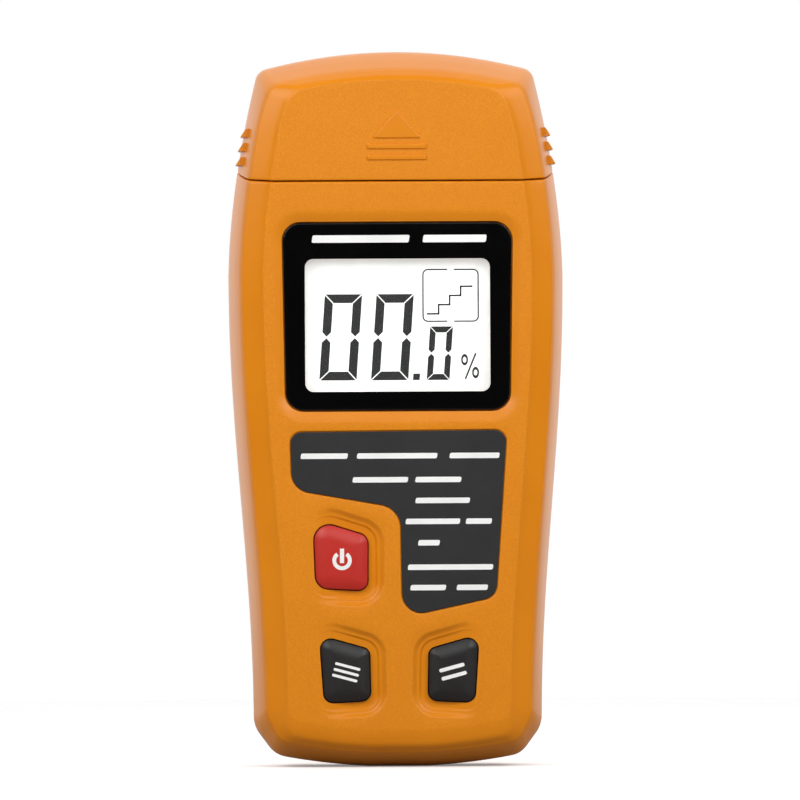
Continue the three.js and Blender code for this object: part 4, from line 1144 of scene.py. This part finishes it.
def raised_marks(name, outlines, face_y, finish, body, slot, sunk=0.0):
    """Thin printed shapes on a face that looks to the front, all in one piece."""
    work = bmesh.new()
    for outline in outlines:
        work.from_mesh(slab(outline, face_y - PRINT_RELIEF, face_y + sunk))
    mesh = bpy.data.meshes.new(name)
    work.to_mesh(mesh)
    work.free()
    settle(object_of(name, mesh), finish, body, slot)


def zero_segments(left, right, low, high, thick, gap):
    """The six lit segments of a seven-segment nought, each with its mirror images."""
    x, z = (left + right) / 2, (low + high) / 2
    half_width, half_height = (right - left) / 2, (high - low) / 2
    level = np.array([
        [gap - half_width, half_height],
        [thick + gap - half_width, half_height - thick],
        [half_width - thick - gap, half_height - thick],
        [half_width - gap, half_height],
    ])
    upright = np.array([
        [-half_width, half_height - gap],
        [-half_width, gap + thick / 2],
        [thick / 2 - half_width, gap],
        [thick - half_width, gap + thick / 2],
        [thick - half_width, half_height - thick - gap],
    ])
    level_pair = [level * (1, up) + (x, z) for up in (1, -1)]
    return level_pair + [upright * (side, up) + (x, z) for side in (1, -1) for up in (1, -1)]


def stroke(points, width):
    """Bars with square ends along an open line."""
    bars = []
    for start, end in zip(points, points[1:]):
        start, end = np.array(start), np.array(end)
        along = unit(end - start) * width / 2
        across = np.array([-along[1], along[0]])
        bars.append(np.array([
            start - along - across, end + along - across, end + along + across, start - along + across,
        ]))
    return bars


def ring_outline(x, z, radius, width, start, sweep, steps=36):
    """A closed outline of part of a ring."""
    turns = start + sweep * np.linspace(0, 1, steps + 1)
    outer = np.column_stack([x + radius * np.cos(turns), z + radius * np.sin(turns)])
    inner = np.column_stack([x + (radius - width) * np.cos(turns), z + (radius - width) * np.sin(turns)])
    return np.concatenate([outer, inner[::-1]])


def percent_sign():
    foot, width, radius = DIGIT_FOOT_Z + PERCENT["lift"], PERCENT["width"], PERCENT_RING["radius"]
    left, right, high = PERCENT["left"], PERCENT["right"], foot + PERCENT["height"]
    tall = radius * PERCENT_RING["tall"]
    outlines = stroke([(left + PERCENT_SLASH["left"], foot), (right - PERCENT_SLASH["right"], high)], width)
    for place in ((left + radius, high - tall), (right - radius, foot + tall)):
        for start in (0, math.pi):
            half = ring_outline(0, 0, radius, width, start, math.pi, PERCENT_RING["steps"])
            outlines.append(half * (1, PERCENT_RING["tall"]) + place)
    return outlines


def icon_outlines():
    """A rounded frame, open at the middle of its top and bottom, with a flight of steps in it."""
    left, right, low, high = ICON["left"], ICON["right"], ICON["low"], ICON["high"]
    width, radius = ICON["width"], ICON_RADIUS
    middle, gap = (left + right) / 2, ICON_OPENING
    outlines = []
    for side, edge in ((-1, left), (1, right)):
        lines = [
            [(middle + side * gap, high), (edge - side * radius, high)],
            [(edge, high - radius), (edge, low + radius)],
            [(edge - side * radius, low), (middle + side * gap, low)],
        ]
        outlines += [bar for line in lines for bar in stroke(line, width)]
        for z, turn in ((high - radius, 0), (low + radius, -math.pi / 2)):
            start = turn if side > 0 else math.pi - turn - math.pi / 2
            centre_x = edge - side * radius
            outlines.append(ring_outline(centre_x, z, radius + width / 2, width, start, math.pi / 2, 8))
    step_x = (ICON_STEPS["right"] - ICON_STEPS["left"]) / ICON_STEP_COUNT
    step_z = (ICON_STEPS["high"] - ICON_STEPS["low"]) / (ICON_STEP_COUNT - 1)
    for index in range(ICON_STEP_COUNT):
        x, z = ICON_STEPS["left"] + index * step_x, ICON_STEPS["low"] + index * step_z
        corners = [(x, z), (x + step_x, z), (x + step_x, z + step_z)]
        outlines += stroke(corners[:2] if index + 1 == ICON_STEP_COUNT else corners, ICON_STEPS["width"])
    return outlines


def display_segments():
    """Two large noughts, a point and a small nought, with the percent sign and the icon."""
    digits = [(left, DIGIT_WIDTH, DIGIT_HEIGHT, DIGIT_THICK, DIGIT_GAP) for left in DIGIT_LEFTS]
    digits.append(tuple(SMALL_DIGIT[part] for part in ("left", "width", "height", "thick", "gap")))
    outlines = []
    for left, width, height, thick, gap in digits:
        outlines += zero_segments(left, left + width, DIGIT_FOOT_Z, DIGIT_FOOT_Z + height, thick, gap)
    half_width, point_high = POINT_MARK["width"] / 2, DIGIT_FOOT_Z + POINT_MARK["height"]
    point = panel(half_width, DIGIT_FOOT_Z, point_high, 0, POINT_MARK["left"] + half_width)
    outlines.append(point[:, :2])
    outlines = [slanted(outline, DIGIT_SLANT, DIGIT_FOOT_Z) for outline in outlines]
    outlines += percent_sign() + icon_outlines()
    raised_marks("lcd_segments", outlines, LCD_FRONT_Y, "segment", "housing", "lcd_glass")


def word_bars(lines, height):
    """Plain slanted bars that stand where lines of printing would."""
    outlines = []
    for z, left, right in lines:
        corners = panel((right - left) / 2, z - height / 2, z + height / 2, PRINT_RADIUS, (left + right) / 2)
        outlines.append(slanted(rounded(corners, 4), PRINT_SLANT, z))
    return outlines


def label():
    piece = object_of("label_sheet", soft_slab(LABEL_CORNERS, FRONT_FACE_Y, LABEL_BACK_Y, SHEET_EDGE, 3))
    settle(piece, "label", "housing", "label_sheet", "label_plate")
    bars = word_bars(LABEL_LINES, LABEL_BAR_HEIGHT)
    raised_marks("label_marks", bars, FRONT_FACE_Y, "print", "housing", "label_sheet")
    title = word_bars(TITLE_LINES, TITLE_BAR_HEIGHT)
    raised_marks("window_marks", title, WINDOW_FRONT_Y, "print", "housing", "window_plastic")


# ---------------- keys

def key_cap(name, corners, finish):
    """A pillowed key: crown falling away to its edges, upright sides and a flange at the back."""
    rings = []
    for share in np.linspace(1, 0, KEY_CROWN["steps"]):
        y = KEY_FACE_Y + KEY_CROWN["drop"] * (1 - share) ** KEY_CROWN["curve"]
        rings.append(at_depth(rounded(grown(corners, -KEY_CROWN["inset"] * share)), y))
    flange_y = KEY_BACK_Y - KEY_FLANGE_THICKNESS
    rings.append(at_depth(rounded(corners), flange_y))
    rings.append(at_depth(rounded(grown(corners, KEY_FLANGE)), flange_y + HAIR))
    rings.append(at_depth(rounded(grown(corners, KEY_FLANGE)), KEY_BACK_Y))
    piece = object_of(f"{name}_key_cap", lofted(rings))
    settle(piece, finish, f"{name}_key", finish, f"{name}_button")


def power_symbol():
    """An open ring with a bar through its gap."""
    x, z, radius = POWER_MARK["x"], POWER_MARK["z"], POWER_MARK["radius"]
    sweep = 2 * (math.pi - POWER_MARK_GAP)
    ring = ring_outline(x, z, radius, POWER_MARK["ring"], math.pi / 2 + POWER_MARK_GAP, sweep)
    return [ring, *stroke([(x, z - POWER_MARK_FOOT), (x, z + radius)], POWER_MARK["bar"])]


def key_bars(corners, count, height, pitch, turn):
    """Level bars one above the other, all turned about the middle of their key."""
    middle = corners[:, :2].mean(0)
    spin = np.array([[math.cos(turn), math.sin(turn)], [-math.sin(turn), math.cos(turn)]])
    outlines = []
    for index in range(count):
        z = (index - (count - 1) / 2) * pitch
        bar = panel(KEY_BAR_HALF_WIDTH, z - height / 2, z + height / 2, height * KEY_BAR_ROUNDING)
        outlines.append(rounded(bar, 4) @ spin + middle)
    return outlines


def key_symbols():
    symbols = {"power": power_symbol()}
    for name, bars in KEY_BARS.items():
        symbols[name] = key_bars(KEYS[name]["corners"], **bars)
    for name, outlines in symbols.items():
        slot = KEYS[name]["finish"]
        raised_marks(f"{name}_symbol", outlines, KEY_FACE_Y, "print", f"{name}_key", slot, KEY_PRINT_SUNK)


# ---------------- battery door

def battery_door():
    inner_y = HALF_DEPTH - DOOR_THICKNESS
    plate = soft_slab(DOOR_CORNERS, inner_y, HALF_DEPTH, SHEET_EDGE, 3, DOOR_EDGE)
    piece = object_of("battery_door_skin", plate)
    hooks = []
    for side in (-1, 1):
        low_x, high_x = sides_of(HOOK["inner"], HOOK["outer"], side)
        hooks.append(block((low_x, HOOK["front"], DOOR_BOTTOM_Z), (high_x, inner_y + GAP, HOOK["top"])))
        hooks.append(block((low_x, HOOK["front"], DOOR_LOW.z), (high_x, HOOK["back"], DOOR_BOTTOM_Z + GAP)))
    tongue = block(
        (-TONGUE_HALF_WIDTH, inner_y, DOOR_TOP_Z - GAP),
        (TONGUE_HALF_WIDTH, inner_y + TONGUE_THICKNESS, DOOR_HIGH.z),
    )
    combine(piece, "UNION", [*hooks, tongue])
    grooves = []
    for index in range(GROOVE_COUNT):
        z = GROOVES["top"] - index * GROOVES["pitch"]
        corners = panel(GROOVE_HALF_WIDTH, z - GROOVES["height"], z, GROOVE_RADIUS)
        grooves.append(slab(rounded(corners), HALF_DEPTH - GROOVES["depth"], FAR))
    combine(piece, "DIFFERENCE", [finger_scoop(), *grooves])
    settle(piece, "orange", "door", "housing_plastic", "battery_door")


# ---------------- stage, lights and camera

def floor():
    """A pale round floor that shows white and throws less light back at the object."""
    rim = circle(0, 0, FLOOR_RADIUS, ROUND_STEPS)
    piece = object_of("studio_floor", lofted([np.insert(rim, 2, z, axis=1) for z in FLOOR_LEVELS]))
    finish = Finish("studio_floor", Roughness=0.9)
    white = finish.colours(finish.noise(FLOOR_CLOUD_SIZE), (249, 249, 249), (253, 253, 253))
    seen = finish.add("ShaderNodeLightPath").outputs["Is Camera Ray"]
    finish.link(finish.mix(seen, (*FLOOR_BOUNCE, 1), white), "Base Color")
    finish.link(white, "Emission Color")
    finish.link(finish.times(seen, FLOOR_GLOW), "Emission Strength")
    piece.data.materials.append(finish.material)


def soft_light(name, lamp, side, aim):
    light = bpy.data.lights.new(name, "AREA")
    light.shape = "RECTANGLE"
    light.size, light.size_y, light.energy = lamp["width"], lamp["tall"], lamp["power"]
    place = Vector((side * lamp["side"], lamp["front"], lamp["height"]))
    piece = bpy.data.objects.new(name, light)
    piece.location = place
    piece.rotation_euler = (Vector(aim) - place).to_track_quat("-Z", "Y").to_euler()
    piece.visible_camera = False
    bpy.context.scene.collection.objects.link(piece)


def studio_world():
    """White surroundings that light the object from the sides, back and above more than from the front."""
    world = bpy.data.worlds.new("studio")
    world.use_nodes = True
    tree = world.node_tree
    place = add_node(tree, "ShaderNodeTexCoord").outputs["Generated"]
    towards_back = add_node(tree, "ShaderNodeSeparateXYZ", {"Vector": place}).outputs["Y"]
    sockets = {"Value": towards_back, **WORLD_FADE}
    fade = add_node(tree, "ShaderNodeMapRange", sockets, interpolation_type="SMOOTHSTEP")
    seen = add_node(tree, "ShaderNodeLightPath").outputs["Is Camera Ray"]
    shown = add_node(tree, "ShaderNodeMix", {0: seen, 2: fade.outputs["Result"], 3: 1.0}).outputs[0]
    background = tree.nodes["Background"]
    background.inputs["Color"].default_value = (1, 1, 1, 1)
    tree.links.new(shown, background.inputs["Strength"])
    bpy.context.scene.world = world


def lights():
    studio_world()
    for side in (-1, 1):
        soft_light("soft_box", SOFT_BOX, side, (0, 0, HEIGHT / 2))
    soft_light("top_panel", PANEL, 0, (0, 0, HEIGHT))


def camera():
    lens = bpy.data.cameras.new("camera")
    lens.sensor_width = 36
    lens.lens = lens.sensor_width * CAMERA_DISTANCE / CAMERA_VIEW
    lens.clip_end = 20
    eye = bpy.data.objects.new("camera", lens)
    back = Vector((math.sin(CAMERA_YAW), -math.cos(CAMERA_YAW), 0))
    eye.location = CAMERA_AIM + back * CAMERA_DISTANCE
    eye.rotation_mode = "QUATERNION"
    look = (-back).to_track_quat("-Z", "Y")
    eye.rotation_quaternion = look @ Matrix.Rotation(CAMERA_ROLL, 3, "Z").to_quaternion()
    bpy.context.scene.collection.objects.link(eye)
    bpy.context.scene.camera = eye


# ---------------- assembly

def dress_cad_nodes():
    """Softened edges and a finish on every CAD node that shows as it is."""
    for finish, names in NODE_FINISHES.items():
        for name in names:
            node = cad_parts[name]
            node.data.materials.clear()
            node.data.materials.append(FINISHES[finish])
            bevel = node.modifiers.new("soft_edges", "BEVEL")
            for setting, value in NODE_BEVEL.items():
                setattr(bevel, setting, value)


camera()
lights()
floor()
FORM = outer_form()
INSIDE = outer_form(WALL, detailed=False)
BODY = cut_at(FORM, CAP_PLACE - CAP_NORMAL * GAP / 2, CAP_NORMAL)
front_shell(BODY, INSIDE)
rear_shell(BODY, INSIDE)
pin_cap(FORM, INSIDE)
window_border()
window_pane()
display_segments()
label()
for key_name, key in KEYS.items():
    key_cap(key_name, key["corners"], key["finish"])
key_symbols()
battery_door()
dress_cad_nodes()
bpy.context.scene.view_settings.view_transform = "Standard"
